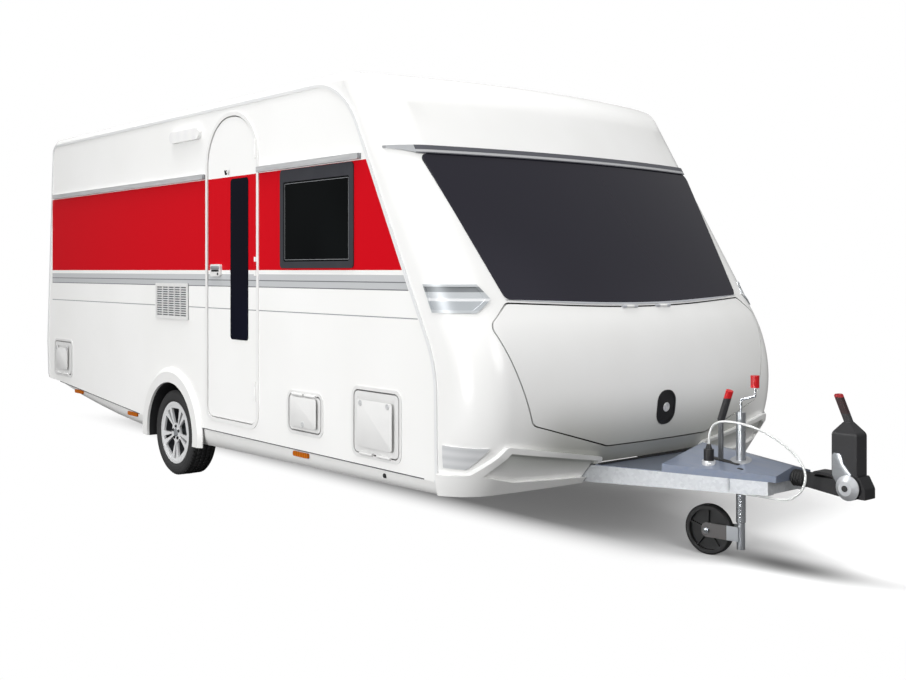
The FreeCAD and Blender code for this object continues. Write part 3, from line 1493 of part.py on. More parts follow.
def rooflights():
    """Domed rooflights over the roof's openings."""
    domes = []
    for x, length, width in rooflight_places:
        margin = 2 * wall
        points = rectangle(x - length / 2 - margin, x + length / 2 + margin, -width / 2 - margin,
                           width / 2 + margin, rooflight_radius + margin)
        dome = prism_xy(points, roof_height, roof_height + rooflight_height)
        top = [edge for edge in dome.Edges if edge.BoundBox.ZMin > roof_height + rooflight_height - bond]
        domes.append(dome.makeChamfer(rooflight_height / 2, top))
    return Part.makeCompound(domes)


def locker_bulkhead():
    """Upright wall behind the front locker."""
    wide = half_width + overrun
    plate = block(bulkhead_x - bulkhead_thickness, bulkhead_x, -wide, wide, floor_top, window_foot)
    return plate.common(skin_form(wall)).Solids[0]


def lead_fittings():
    """Ring on the cover in which the plug is parked, and the box in the drawbar where the lead ends."""
    ring = Part.makeCylinder(plug_radius + 2 * steel, plug_seat - drawbar_top - steel,
                             Vector(plug_x, plug_y, drawbar_top + steel))
    ring = ring.cut(cover_form(0, steel))
    end_x, end_y, end_z = lead_points[-1]
    length, width, height = box_size
    seat = drawbar_floor(end_x) + steel
    box = block(end_x - length, end_x, end_y - width / 2, end_y + width / 2, seat, seat + height)
    return Part.makeCompound([ring, box])


def drawbar_floor(x):
    """Underside of the A-frame's side members at this place."""
    share = (nose_x - x) / (nose_x - drawbar_bend)
    return drawbar_nose_bottom + share * (drawbar_rear_bottom - drawbar_nose_bottom)


def plug():
    """Parked plug, standing in its holder, with a neck that the lead leaves upward."""
    base = plug_seat
    top = lead_points[0][2]
    shoulder = top - plug_neck
    body = Part.makeCylinder(plug_radius, shoulder - base, Vector(plug_x, plug_y, base))
    neck = Part.makeCone(plug_radius * 0.7, lead_diameter * 0.8, plug_neck, Vector(plug_x, plug_y, shoulder))
    return body.fuse(neck)


def lead():
    """Lead from the plug, looped forward round the hitch and back into the drawbar."""
    places = [Vector(*point) for point in lead_points]
    edges = []
    start = places[0]
    for before, corner, after in zip(places, places[1:], places[2:]):
        back = before - corner
        ahead = after - corner
        half_turn = (math.pi - back.getAngle(ahead)) / 2
        reach = bend_share * min(back.Length, ahead.Length)
        radius = reach / math.tan(half_turn)
        print("lead radius", round(radius))
        back.normalize()
        ahead.normalize()
        inward = (back + ahead).normalize()
        crown = corner + inward * (radius / math.cos(half_turn) - radius)
        edges.append(Part.LineSegment(start, corner + back * reach).toShape())
        edges.append(Part.Arc(corner + back * reach, crown, corner + ahead * reach).toShape())
        start = corner + ahead * reach
    edges.append(Part.LineSegment(start, places[-1]).toShape())
    path = Part.Wire(edges)
    ring = Part.Wire(Part.makeCircle(lead_diameter / 2, places[0], places[1] - places[0]))
    tube = path.makePipeShell([ring], True, False)
    section = math.pi * lead_diameter ** 2 / 4
    print("lead length", round(path.Length), "volume share", round(tube.Volume / section / path.Length, 4))
    return tube


def save(name, shape):
    """Writes one piece, moved so that the model's middle stands over the origin."""
    placed = shape.copy()
    placed.translate(Vector(-middle_x, 0, 0))
    if not placed.isValid():
        print("not valid:", name)
    placed.exportStep("parts/" + name + ".step")


def main():
    os.makedirs("parts", exist_ok=True)
    front, roof, rear = body_panels(skin_form(0), skin_form(wall))
    save("front_cap", front)
    save("roof", roof)
    save("rear_wall", rear)
    save("right_wall", side_wall("right"))
    save("left_wall", side_wall("left"))
    save("floor", floor_panel())
    save("wheel_housings", wheel_housings())
    save("chassis_rails", chassis_rails())
    save("axle", axle())
    save("drawbar", drawbar())
    save("drawbar_cover", drawbar_cover())
    save("hitch_shaft", hitch_shaft())
    save("bellows", bellows())
    save("coupling_head", coupling_head())
    save("stabiliser_handle", stabiliser_handle())
    save("handbrake_lever", handbrake_lever())
    save("jockey_mast", jockey_mast())
    save("jockey_leg", jockey_leg())
    save("jockey_fork", jockey_fork())
    save("jockey_wheel", jockey_wheel())
    save("lead_fittings", lead_fittings())
    save("plug", plug())
    save("lead", lead())
    save("front_bumpers", front_bumpers())
    save("rear_bumper", rear_bumper())
    save("edge_trims", edge_trims())
    save("wheel_arch_trims", wheel_arch_trims())
    save("skirts", skirts())
    save("side_markers", side_markers())
    save("steady_brackets", steady_brackets())
    save("locker_bulkhead", locker_bulkhead())
    save("front_window", front_window())
    save("front_window_trims", front_window_trims())
    save("locker_lid", locker_lid())
    save("lid_lock", lid_lock())
    save("light_pods", light_pods())
    save("position_lamps", position_lamps())
    save("window_frames", window_frames())
    save("window_panes", window_panes())
    save("window_rails", window_rails())
    save("vent_grille", vent_grille())
    save("awning_lamp", awning_lamp())
    save("rear_lamps", rear_lamps())
    save("rooflights", rooflights())
    save("door_frame", door_frame())
    save("door_leaf", door_leaf())
    save("door_window", door_window())
    save("door_handle", door_handle())
    save("flap_frames", flap_frames())
    for name, (span, edge) in zip(("large_flap", "small_flap", "rear_flap"), flaps):
        save(name, flap(span, edge))
    for side in ("right", "left"):
        save(side + "_tyre", tyre(side))
        save(side + "_rim", rim(side))
        sign = 1 if side == "left" else -1
        save("front_" + side + "_steady", steady(steady_front_pivot, sign * steady_y))
        save("rear_" + side + "_steady", steady(steady_rear_pivot, sign * steady_y))


main()
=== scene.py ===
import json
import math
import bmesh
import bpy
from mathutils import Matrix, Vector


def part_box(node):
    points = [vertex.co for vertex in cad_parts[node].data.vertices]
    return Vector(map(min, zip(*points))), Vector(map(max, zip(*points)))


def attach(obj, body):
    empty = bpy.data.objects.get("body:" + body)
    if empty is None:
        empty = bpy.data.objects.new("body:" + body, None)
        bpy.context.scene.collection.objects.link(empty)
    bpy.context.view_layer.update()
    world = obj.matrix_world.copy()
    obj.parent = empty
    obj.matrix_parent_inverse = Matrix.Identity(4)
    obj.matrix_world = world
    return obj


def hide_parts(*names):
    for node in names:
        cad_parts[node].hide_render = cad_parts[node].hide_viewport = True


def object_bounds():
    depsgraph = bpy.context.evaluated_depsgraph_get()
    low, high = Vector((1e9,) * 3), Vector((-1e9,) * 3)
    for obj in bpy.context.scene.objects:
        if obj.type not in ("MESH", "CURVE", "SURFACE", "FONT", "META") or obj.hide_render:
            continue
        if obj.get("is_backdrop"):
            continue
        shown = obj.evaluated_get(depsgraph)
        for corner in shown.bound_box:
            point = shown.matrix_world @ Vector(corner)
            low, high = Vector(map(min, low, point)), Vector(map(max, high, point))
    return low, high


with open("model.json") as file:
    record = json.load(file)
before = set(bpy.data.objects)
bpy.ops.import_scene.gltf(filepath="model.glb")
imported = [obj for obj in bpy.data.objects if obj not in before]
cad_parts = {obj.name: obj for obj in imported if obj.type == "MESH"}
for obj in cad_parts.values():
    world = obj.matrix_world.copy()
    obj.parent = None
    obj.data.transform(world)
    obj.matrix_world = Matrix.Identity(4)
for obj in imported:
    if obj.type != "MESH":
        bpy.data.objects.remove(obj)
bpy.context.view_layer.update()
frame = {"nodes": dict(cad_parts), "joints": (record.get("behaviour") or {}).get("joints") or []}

# %% [markdown]
# # A travel caravan, dressed around its CAD frame
# The frame brings every structural part of the caravan, to the millimetre: body panels, windows,
# running gear, drawbar and hitch. This lesson gives those parts their finishes and adds what a
# CAD model leaves out: tread blocks, bolts, seals, latches and the lead's soft line.
# X points forward to the hitch, Y to the left side and Z up, in metres.

MM = 0.001
AXLE_X = -1.085  # the wheels' place; most X values below count forward from it
AXLE_Z = 0.305  # the hub stands one tyre radius above the floor
WHEEL_Y = 1.145  # middle of a tyre
SIDE_Y = 1.25  # face of a side wall


def new_object(name, data):
    """Object in the scene, made of a mesh, a curve, a light or a camera."""
    thing = bpy.data.objects.new(name, data)
    bpy.context.scene.collection.objects.link(thing)
    return thing

# %% [markdown]
# Colours are easier to pick as the hex values of a colour chart, but a renderer adds light in
# linear values. One function turns the first into the second. Another adds a node of any kind,
# with its settings and what is linked to its sockets, so that each material below reads as a
# short recipe. The rest are patterns that several recipes share.

# %% Colour and node helpers
def linear(code):
    """Linear RGBA of an sRGB hex value."""
    parts = [int(code[i:i + 2], 16) / 255 for i in (1, 3, 5)]
    return tuple([p / 12.92 if p <= 0.04045 else ((p + 0.055) / 1.055) ** 2.4 for p in parts] + [1.0])


def add(tree, kind, *values, named=None, out=None, **settings):
    """Adds a node with its settings, fills or links its sockets, and returns one of its outputs.

    Values go to the node's live sockets in their order, and named ones to the sockets of those
    names. The output is the first live one, unless another is asked for.
    """
    node = tree.nodes.new(kind)
    for key, value in settings.items():
        setattr(node, key, value)
    pairs = list(zip([socket for socket in node.inputs if socket.enabled], values))
    pairs += [(node.inputs[key], value) for key, value in (named or {}).items()]
    for socket, value in pairs:
        if isinstance(value, bpy.types.NodeSocket):
            tree.links.new(value, socket)
        else:
            socket.default_value = value
    live = [socket for socket in node.outputs if socket.enabled]
    return node.outputs[out] if out else (live or [None])[0]


MATH, RANGE, MIX = "ShaderNodeMath", "ShaderNodeMapRange", "ShaderNodeMix"
SOFT = {"interpolation_type": "SMOOTHSTEP"}  # a range that starts and ends softly


def blank_tree(owner):
    """Empty node tree of a material or a world."""
    owner.use_nodes = True
    owner.node_tree.nodes.clear()
    return owner.node_tree


def start_material(name, **sockets):
    """New material with a principled shader, whose sockets are named with underscores for spaces."""
    material = bpy.data.materials.new(name)
    tree = blank_tree(material)
    values = {key.replace("_", " "): linear(v) if isinstance(v, str) else v for key, v in sockets.items()}
    surface = add(tree, "ShaderNodeBsdfPrincipled", named=values)
    add(tree, "ShaderNodeOutputMaterial", surface)
    print("material", name)
    return material, tree, surface.node, add(tree, "ShaderNodeTexCoord", out="Object")


def join(tree, output, shader, socket):
    tree.links.new(output, shader.inputs[socket])


def paint(tree, shader, share, below, above):
    """Lays a share of one colour over another, gives the shader that tone and returns it."""
    colours = [linear(colour) if isinstance(colour, str) else colour for colour in (below, above)]
    tone = add(tree, MIX, share, *colours, data_type="RGBA")
    join(tree, tone, shader, "Base Color")
    return tone


def patches(tree, place, size_mm, low, high, most, detail=2.0):
    """Share between 0 and its most, in soft patches about this many millimetres across."""
    cloud = add(tree, "ShaderNodeTexNoise", place, 1 / (size_mm * MM), detail)
    return add(tree, RANGE, cloud, low, high, 0.0, most, **SOFT)


def between(tree, value, low, high):
    """1 where the value lies between two limits, and 0 elsewhere."""
    over = add(tree, MATH, value, low, operation="GREATER_THAN")
    under = add(tree, MATH, value, high, operation="LESS_THAN")
    return add(tree, MATH, over, under, operation="MULTIPLY")


def measures(tree, place):
    """X, the distance from the middle line and Z of a place."""
    axes = add(tree, "ShaderNodeSeparateXYZ", place).node.outputs
    return axes["X"], add(tree, MATH, axes["Y"], operation="ABSOLUTE"), axes["Z"]


print("hex #808080 is", round(linear("#808080")[0], 3), "in linear light")

# %% [markdown]
# ## Camera
# The photograph was taken at standing eye height, well ahead of the right front corner, with a
# level camera. Its horizon lies above the middle of the frame, so the lens is shifted down a
# little in place of tilting the camera, which keeps upright lines upright.

# %% Camera
camera = new_object("camera", bpy.data.cameras.new("camera"))
bpy.context.scene.camera = camera
camera.location = (6.470, -4.887, 1.474)
camera.rotation_euler = (math.radians(90), 0, math.radians(50.36))
camera.data.sensor_width = 36
camera.data.lens = 44.9
camera.data.shift_y = -0.0769
camera.data.clip_end = 200
print("camera at", tuple(camera.location))

# %% [markdown]
# ## White skins
# The body's front, roof and rear are glass-fibre mouldings with a gelcoat: very smooth and
# softly glossy. A thin clear coat over a slightly rough base gives that depth, and slow waves of
# a slightly warmer white show where road film stays. The front's lower middle is painted grey as
# painted shade, which fades in downward and toward the middle.

# %% Gelcoat and mouldings
WHITE = "#F6F6F5"
ROAD_FILM = "#EBEBE8"
# Painted shade on the front: a grey laid over its lower middle, darker downward and toward the middle.
FRONT_PAINTED_SHADE = "#ACADA8"
PAINTED_SHADE_HEIGHTS = (0.88, 0.48)  # where the front's painted shade starts and where it is full
PAINTED_SHADE_ASIDE = (1.08, 0.70)  # the same, as distances from the middle line


def skin(name, colour, wave_mm, rough=0.24, coat=0.15, mirror=0.3):
    """Smooth white finish with waves of film. Its tone is returned too, for layers over it."""
    material, tree, shader, place = start_material(
        name, Base_Color=colour, Roughness=rough, Specular_IOR_Level=mirror, Coat_Weight=coat,
        Coat_Roughness=0.08)
    film = patches(tree, place, wave_mm, 0.2, 0.8, 0.35)
    return material, tree, shader, place, paint(tree, shader, film, colour, ROAD_FILM)


gelcoat = skin("gelcoat_white", WHITE, 420)[0]
front_gelcoat, tree, shader, place, tone = skin("gelcoat_front_with_painted_shade", WHITE, 420)
_, aside, z = measures(tree, place)
downward = add(tree, RANGE, z, *PAINTED_SHADE_HEIGHTS, 0.0, 1.0, **SOFT)
inward = add(tree, RANGE, aside, *PAINTED_SHADE_ASIDE, 0.0, 1.0, **SOFT)
# The painted shade is full low down and near the middle line.
painted_shade = add(tree, MATH, downward, inward, operation="MULTIPLY")
paint(tree, shader, painted_shade, tone, FRONT_PAINTED_SHADE)
seam_strip = skin("pale_seam_strip", "#E4E5E6", 300, 0.4)[0]
moulded_trim = skin("moulded_white_trim", "#F0F0EF", 180, 0.3)[0]

# %% [markdown]
# The flat sides are painted aluminium sheet with vinyl bands on them: a red one at window
# height, a two-tone silver one below it, and a thin grey line lower down. The bands are cut
# straight, so plain comparisons of X and Z draw them, and the front ends follow the slant of the
# moulded front.

# %% Side sheet with its bands
BAND_REAR = -2.37 + AXLE_X
BAND_FRONT = 2.737 + AXLE_X  # at the foot of the red band
BAND_FOOT = 1.475
BAND_SLANT = -0.5357  # how far a front end moves with each metre of height
SILVER_EDGE = "#77797C"
STRIPES = [
    (BAND_FOOT, 2.093, "#CC0819"),
    (1.412, 1.449, "#C4C6C8"),
    (1.406, 1.412, SILVER_EDGE),
    (1.371, 1.406, "#C0C2C4"),
    (1.365, 1.371, SILVER_EDGE),
    (1.2155, 1.2215, "#97999C"),
]
side_sheet, tree, shader, place, tone = skin("painted_side_sheet", WHITE, 700, 0.36, 0.0, 0.06)
x, _, z = measures(tree, place)
above_foot = add(tree, MATH, z, BAND_FOOT, operation="SUBTRACT")
front_end = add(tree, MATH, above_foot, BAND_SLANT, BAND_FRONT, operation="MULTIPLY_ADD")
along = between(tree, x, BAND_REAR, front_end)
for low, high, colour in STRIPES:
    stripe = add(tree, MATH, between(tree, z, low, high), along, operation="MULTIPLY")
    tone = paint(tree, shader, stripe, tone, colour)
print("side sheet with", len(STRIPES), "stripes")

# %% [markdown]
# ## Glazing
# Caravan windows are double panes of tinted acrylic. Seen against a dark room they look nearly
# black, with a clean but soft mirror on top. The front one is a charcoal tint.

# %% Tinted acrylic
def tinted(name, colour, light, cloud_mm, mirror):
    """Tinted acrylic, whose tone drifts a little."""
    material, tree, shader, place = start_material(
        name, Base_Color=colour, Roughness=0.14, IOR=1.49, Specular_IOR_Level=mirror)
    paint(tree, shader, patches(tree, place, cloud_mm, 0.35, 0.75, 1.0, 1.0), colour, light)
    return material


front_tint = tinted("charcoal_acrylic", "#25242D", "#2F2E37", 1400, 0.3)
side_tint = tinted("black_acrylic", "#050708", "#0A0D0E", 700, 0.12)
door_tint = tinted("blue_black_acrylic", "#0A0B16", "#101120", 700, 0.12)

# %% [markdown]
# ## Plastics and rubber
# Moulded plastic has a fine grain from its tool, about half a millimetre. It is too fine to
# show from here, so it is drawn at two millimetres. Rubber is rougher and darker, and greys
# where dust settles, in patches about as wide as a hand.

# %% Plastics and rubber
DUST_PATCH_MM = 140


def moulded(name, colour, rough, grain_mm=2.0, depth_mm=0.06, dust="#55565A", dust_share=0.12):
    """Moulded plastic or rubber with a grain and some dust."""
    material, tree, shader, place = start_material(name, Base_Color=colour, Roughness=rough)
    grain = add(tree, "ShaderNodeTexNoise", place, 1 / (grain_mm * MM), 3.0, 0.6)
    relief = {"Height": grain, "Distance": depth_mm * MM, "Strength": 0.6}
    join(tree, add(tree, "ShaderNodeBump", named=relief), shader, "Normal")
    dusty = patches(tree, place, DUST_PATCH_MM, 0.45, 0.75, dust_share, 4.0)
    paint(tree, shader, dusty, colour, dust)
    return material


frame_grey = moulded("grained_window_frame", "#34353B", 0.42)
black_plastic = moulded("black_polyamide", "#1B1B1D", 0.38)
black_rubber = moulded("moulded_rubber", "#161617", 0.62)
tyre_rubber = moulded("tyre_rubber", "#313132", 0.78, 3.0, 0.12, "#4A4A4B", 0.25)
grey_plastic = moulded("grey_polyamide", "#8D8F92", 0.4, dust="#6A6B6E")
housing_plastic = moulded("vacuum_formed_liner", "#232325", 0.7, 6.0, 0.3)
white_abs = moulded("white_abs", "#E6E6E5", 0.34, dust="#C9C9C8")
lock_plastic = moulded("pale_grey_abs", "#C9CACB", 0.4, dust="#B2B3B4")
seal_rubber = moulded("window_seal_rubber", "#55565B", 0.55)
lead_sheath = moulded("pale_lead_sheath", "#D4D6D5", 0.45, dust="#B5B6B5")

# %% [markdown]
# ## Metals
# Hot-dip galvanised steel carries the caravan. Zinc freezes on it in flat crystals 5 to 15 mm
# across, each of which shines a little differently: Voronoi cells vary the tone and the
# roughness. Drawn tubes are zinc plated and brighter. The cover over the drawbar is pressed
# sheet with a metallic paint. Streaks left by drawing or rolling are about 250 mm long and 12 mm
# wide, which is as fine as shows from here.

# %% Metals
def galvanised(name, dark, light, cell_mm, rough, metallic=0.9):
    """Zinc coat with crystals of this many millimetres."""
    material, tree, shader, place = start_material(name, Metallic=metallic, Roughness=rough)
    crystals = add(tree, "ShaderNodeTexVoronoi", place, 1 / (cell_mm * MM), out="Color")
    tone = add(tree, "ShaderNodeSeparateColor", crystals)
    paint(tree, shader, tone, dark, light)
    sheen = add(tree, RANGE, tone, 0.0, 1.0, rough - 0.04, rough + 0.06, **SOFT)
    join(tree, sheen, shader, "Roughness")
    return material


STREAKS_PER_METRE = (4.0, 80.0, 80.0)
STREAK_TONE = "#8F9296"


def satin_metal(name, colour, rough, metallic=1.0, streaks=STREAKS_PER_METRE, coat=0.0):
    """Metal with fine streaks along the direction in which it was drawn or rolled."""
    material, tree, shader, place = start_material(
        name, Base_Color=colour, Metallic=metallic, Roughness=rough, Coat_Weight=coat)
    stretched = add(tree, "ShaderNodeMapping", named={"Vector": place, "Scale": streaks})
    paint(tree, shader, patches(tree, stretched, 1000, 0.3, 0.7, 0.3), colour, STREAK_TONE)
    return material


chassis_zinc = galvanised("galvanised_steel", "#8E9398", "#B4B9BE", 12, 0.42)
drawbar_zinc = galvanised("galvanised_drawbar", "#BDC0C4", "#CACDD0", 16, 0.42, 0.55)
bright_zinc = satin_metal("bright_zinc_tube", "#C6CACF", 0.24, streaks=(60.0, 60.0, 4.0))
cover_paint = satin_metal("metallic_cover_paint", "#7D879B", 0.3, 0.5, coat=0.3)
silver_trim = satin_metal("anodised_silver", "#DCDDDE", 0.34, 0.3)
silver_paint = satin_metal("silver_lamp_trim", "#B9BDC1", 0.26, 0.6, coat=0.5)
# Black for the wheel bolts is painted shade: it stands for the dark holes they sit in.
bolt_black_painted_shade = moulded("wheel_bolts_black_as_painted_shade", "#18181A", 0.36, 5.0, 0.12)

# %% [markdown]
# Some pieces leave the works in two or three finishes. The brake lever has a bare stem, a black
# grip and a red cap, the jockey mast a red knob, and the coupling silver friction caps. Limits on
# X, Z or the distance from the middle line tell the shader where one finish ends and the next
# begins. On the wheels, the vent grille and the lamp pods they mark painted shade instead.

# %% Pieces with several finishes
def zoned(name, base, base_rough, base_metal, zones):
    """Finish with zones: each is (axis, low, high, colour, roughness, metallic)."""
    material, tree, shader, place = start_material(name)
    places = dict(zip("XYZ", measures(tree, place)))
    tone, rough, metal = linear(base), base_rough, base_metal
    for axis, low, high, colour, zone_rough, zone_metal in zones:
        inside = between(tree, places[axis], low, high)
        tone = paint(tree, shader, inside, tone, colour)
        rough = add(tree, MIX, inside, rough, zone_rough)
        metal = add(tree, MIX, inside, metal, zone_metal)
    wear = patches(tree, place, 160, 0.3, 0.8, 0.03)
    join(tree, add(tree, MATH, rough, wear, operation="ADD"), shader, "Roughness")
    join(tree, metal, shader, "Metallic")
    return material


CAP_RED = "#C2141C"
lever_finish = zoned("brake_lever_finish", "#2C2C2E", 0.4, 0.0, [
    ("Z", 0.0, 0.700, "#7E8083", 0.38, 0.8), ("Z", 0.822, 1.0, CAP_RED, 0.3, 0.0)])
mast_finish = zoned("jockey_mast_finish", "#C6CACF", 0.26, 0.9, [("Z", 0.877, 1.0, CAP_RED, 0.3, 0.0)])
# The wheel's dark pockets are painted shade: all that lies more than 15 mm behind the disc's face turns dark
# grey.
wheel_with_painted_pocket_shade = zoned("wheel_paint_with_painted_pocket_shade", "#EDEEEF", 0.34, 0.2, [
    ("Y", 1.0, 1.208, "#64666A", 0.5, 0.3)])
fork_finish = zoned("jockey_fork_finish", "#C6CACF", 0.28, 0.9, [("X", 2.6, 2.912, "#5C5A5A", 0.45, 0.3)])
handle_finish = zoned("stabiliser_handle_finish", "#262628", 0.34, 0.0, [
    ("Z", 0.790, 0.866, "#2B1214", 0.34, 0.0), ("Z", 0.866, 1.0, "#A01A22", 0.3, 0.0)])
coupling_finish = zoned("coupling_finish", "#1A1A1C", 0.38, 0.0, [
    ("Y", 0.058, 0.0821, "#BFC1C4", 0.4, 0.45), ("Y", 0.0821, 0.2, "#1D1D1F", 0.5, 0.0)])
brow_finish = zoned("brow_and_sill_trim", "#55565D", 0.36, 0.0, [
    ("Z", 2.118, 2.132, "#C9CACC", 0.3, 0.4), ("Y", 1.135, 1.3, "#C6C8CB", 0.3, 0.5),
    ("Z", 0.0, 1.6, "#D4D6DC", 0.3, 0.4)])
# The dark band along the top of the lamp pod is painted shade of its recessed roof.
pod_with_painted_shade = zoned("lamp_pod_finish", "#C9CDD0", 0.3, 0.3, [
    ("Z", 1.362, 1.39, "#8C9093", 0.35, 0.4), ("Z", 1.316, 1.33, "#EDEFF1", 0.25, 0.2),
    ("Z", 1.27, 1.316, "#B9BEC2", 0.3, 0.3)])
# The grille's slots are painted dark behind its face: painted shade inside them.
grille_with_painted_slot_shade = zoned("vent_grille_finish", "#E4E4E3", 0.4, 0.0, [("Y", 0.0, 1.2545, "#5E6063", 0.6, 0.0)])
rear_lamp_finish = zoned("rear_lamp_finish", "#A3131A", 0.2, 0.0, [
    ("Z", 1.12, 1.19, "#D9781E", 0.2, 0.0), ("Z", 0.85, 0.9, "#DADCDF", 0.2, 0.0)])

# %% [markdown]
# Each front bumper has a long scoop whose inside is painted greyer: painted shade under its brow.
# Seen from the front, slanted lines bound it: a lip below, a brow above and a third line at its
# outer end. The painted shade fades out toward the lip.

# %% Bumper with a scoop
SCOOP_LIP = ((0.470, 0.366), (1.150, 0.432))  # (distance from the middle line, height)
SCOOP_BROW = ((0.455, 0.462), (1.056, 0.556))
SCOOP_START = 0.452
SCOOP_END_SLANT = -0.77  # how far the outer end moves aside with each metre of height
SCOOP_PAINTED_SHADE = "#D6D8D4"


def line_height(tree, position, start, end):
    """Height of a straight line through two points, at a position."""
    rise = (end[1] - start[1]) / (end[0] - start[0])
    return add(tree, MATH, position, rise, start[1] - rise * start[0], operation="MULTIPLY_ADD")


bumper_skin, tree, shader, place, tone = skin("bumper_with_painted_scoop_shade", WHITE, 260, 0.34)
_, aside, z = measures(tree, place)
lip = line_height(tree, aside, *SCOOP_LIP)
tall = add(tree, MATH, line_height(tree, aside, *SCOOP_BROW), lip, operation="SUBTRACT")
over_lip = add(tree, MATH, z, lip, operation="SUBTRACT")
share_up = add(tree, MATH, over_lip, tall, operation="DIVIDE")
end_aside, end_height = SCOOP_LIP[1]
over_end = add(tree, MATH, z, end_height, operation="SUBTRACT")
outer = add(tree, MATH, over_end, SCOOP_END_SLANT, end_aside, operation="MULTIPLY_ADD")
inside = add(tree, MATH, between(tree, aside, SCOOP_START, outer),
             between(tree, share_up, 0.0, 1.0), operation="MULTIPLY")
# Painted shade in the scoop: full grey under the brow, fading out toward the lip.
shade_fade = add(tree, RANGE, share_up, 0.12, 0.8, 0.0, 1.0, **SOFT)
paint(tree, shader, add(tree, MATH, inside, shade_fade, operation="MULTIPLY"), tone, SCOOP_PAINTED_SHADE)

# %% [markdown]
# ## Lamp lenses and rooflights
# A lens is clear or dyed acrylic with optics moulded into its back. From outside these read as
# fine ribs, so a wave pattern drives both tone and bump. The ribs are drawn 10 mm wide on the
# side markers and 24 mm on the position lamps, coarse enough to show. The cover of the awning
# lamp has only slow waves. The rooflights are milky domes.

# %% Lenses
RIB_SCALE = 1 / 6.28  # the wave node's scale for ribs of one metre, with gaps as wide


def lens(name, dark, light, rib_mm, axis="Z", coat=0.4, mirror=0.5):
    """Ribbed acrylic lens."""
    material, tree, shader, place = start_material(
        name, Roughness=0.12, IOR=1.49, Coat_Weight=coat, Specular_IOR_Level=mirror)
    ribs = add(tree, "ShaderNodeTexWave", place, RIB_SCALE / (rib_mm * MM), out="Fac",
               wave_type="BANDS", bands_direction=axis, wave_profile="SIN")
    paint(tree, shader, ribs, dark, light)
    relief = {"Height": ribs, "Distance": 0.6 * MM, "Strength": 0.5}
    join(tree, add(tree, "ShaderNodeBump", named=relief), shader, "Normal")
    return material


clear_lens = lens("clear_ribbed_lens", "#CDCFD1", "#DCDDDF", 24)
amber_lens = lens("amber_lens", "#A04A06", "#CE7410", 10, "X", 0.0, 0.15)
lamp_cover = lens("white_lamp_cover", "#F0F0F0", "#F4F4F3", 60, "X", 0.0, 0.2)
opal_dome = moulded("opal_acrylic", "#DADDDF", 0.2, 60.0, 0.4, "#C2C6C9", 0.3)

# %% [markdown]
# The floor's underside is birch ply with a dark water-proof stain. Its grain runs along the
# caravan, so the noise is stretched along X: lines about 160 mm long and 13 mm wide.

# %% Stained floor board
floor_board, tree, shader, place = start_material("stained_birch_ply", Roughness=0.68)
stretched = add(tree, "ShaderNodeMapping", named={"Vector": place, "Scale": (1, 12, 12)})
grain = add(tree, "ShaderNodeTexNoise", stretched, 1 / (160 * MM), 5.0)
paint(tree, shader, grain, "#2E2823", "#4B4138")
relief = {"Height": grain, "Distance": 0.4 * MM, "Strength": 0.5}
join(tree, add(tree, "ShaderNodeBump", named=relief), shader, "Normal")

# %% [markdown]
# ## Finishes on the frame's parts
# Each CAD part keeps its mesh and place, and takes a material. Its triangles come loose from the
# CAD, so a small node tree merges them and shades the rounded faces smooth, while edges
# sharper than 28 degrees stay crisp.

# %% Smooth shading for CAD parts
def shading_tree():
    """Node tree that merges loose faces and shades them smooth, up to a crease angle."""
    tree = bpy.data.node_groups.new("smooth_cad_faces", "GeometryNodeTree")
    tree.interface.new_socket("Geometry", in_out="INPUT", socket_type="NodeSocketGeometry")
    crease = tree.interface.new_socket("Crease angle", in_out="INPUT", socket_type="NodeSocketFloat")
    crease.default_value = math.radians(28)
    tree.interface.new_socket("Geometry", in_out="OUTPUT", socket_type="NodeSocketGeometry")
    given = add(tree, "NodeGroupInput").node.outputs
    merged = add(tree, "GeometryNodeMergeByDistance", given["Geometry"], named={"Distance": 0.02 * MM})
    smooth = add(tree, "GeometryNodeSetShadeSmooth", merged, named={"Shade Smooth": True})
    angle = add(tree, "GeometryNodeInputMeshEdgeAngle")
    soft = add(tree, "FunctionNodeCompare", angle, given["Crease angle"], operation="LESS_THAN")
    crisp = add(tree, "GeometryNodeSetShadeSmooth", smooth, named={"Shade Smooth": soft}, domain="EDGE")
    add(tree, "NodeGroupOutput", crisp)
    return tree


smooth_faces = shading_tree()

DRESSES = (
    (front_gelcoat, "front_cap locker_lid"), (gelcoat, "roof rear_wall"), (bumper_skin, "front_bumpers"),
    (moulded_trim, "rear_bumper wheel_arch_trims skirts door_frame"), (seam_strip, "edge_trims"),
    (side_sheet, "right_wall left_wall door_leaf"), (floor_board, "floor locker_bulkhead"),
    (white_abs, "flap_frames large_flap small_flap rear_flap door_handle"), (grille_with_painted_slot_shade, "vent_grille"),
    (front_tint, "front_window"), (side_tint, "window_panes"), (door_tint, "door_window"),
    (frame_grey, "window_frames"), (brow_finish, "front_window_trims"),
    (silver_trim, "window_rails lead_fittings"), (black_plastic, "lid_lock plug"), (opal_dome, "rooflights"),
    (lamp_cover, "awning_lamp"), (pod_with_painted_shade, "light_pods"), (clear_lens, "position_lamps"),
    (amber_lens, "side_markers"), (rear_lamp_finish, "rear_lamps"), (housing_plastic, "wheel_housings"),
    (chassis_zinc, "chassis_rails axle steady_brackets"),
    (chassis_zinc, "front_left_steady front_right_steady rear_left_steady rear_right_steady"),
    (drawbar_zinc, "drawbar"), (cover_paint, "drawbar_cover"), (bright_zinc, "hitch_shaft jockey_leg"),
    (black_rubber, "bellows jockey_wheel"), (coupling_finish, "coupling_head"),
    (handle_finish, "stabiliser_handle"), (lever_finish, "handbrake_lever"), (mast_finish, "jockey_mast"),
    (fork_finish, "jockey_fork"), (tyre_rubber, "right_tyre left_tyre"),
    (wheel_with_painted_pocket_shade, "right_rim left_rim"), (lead_sheath, "lead"),
)
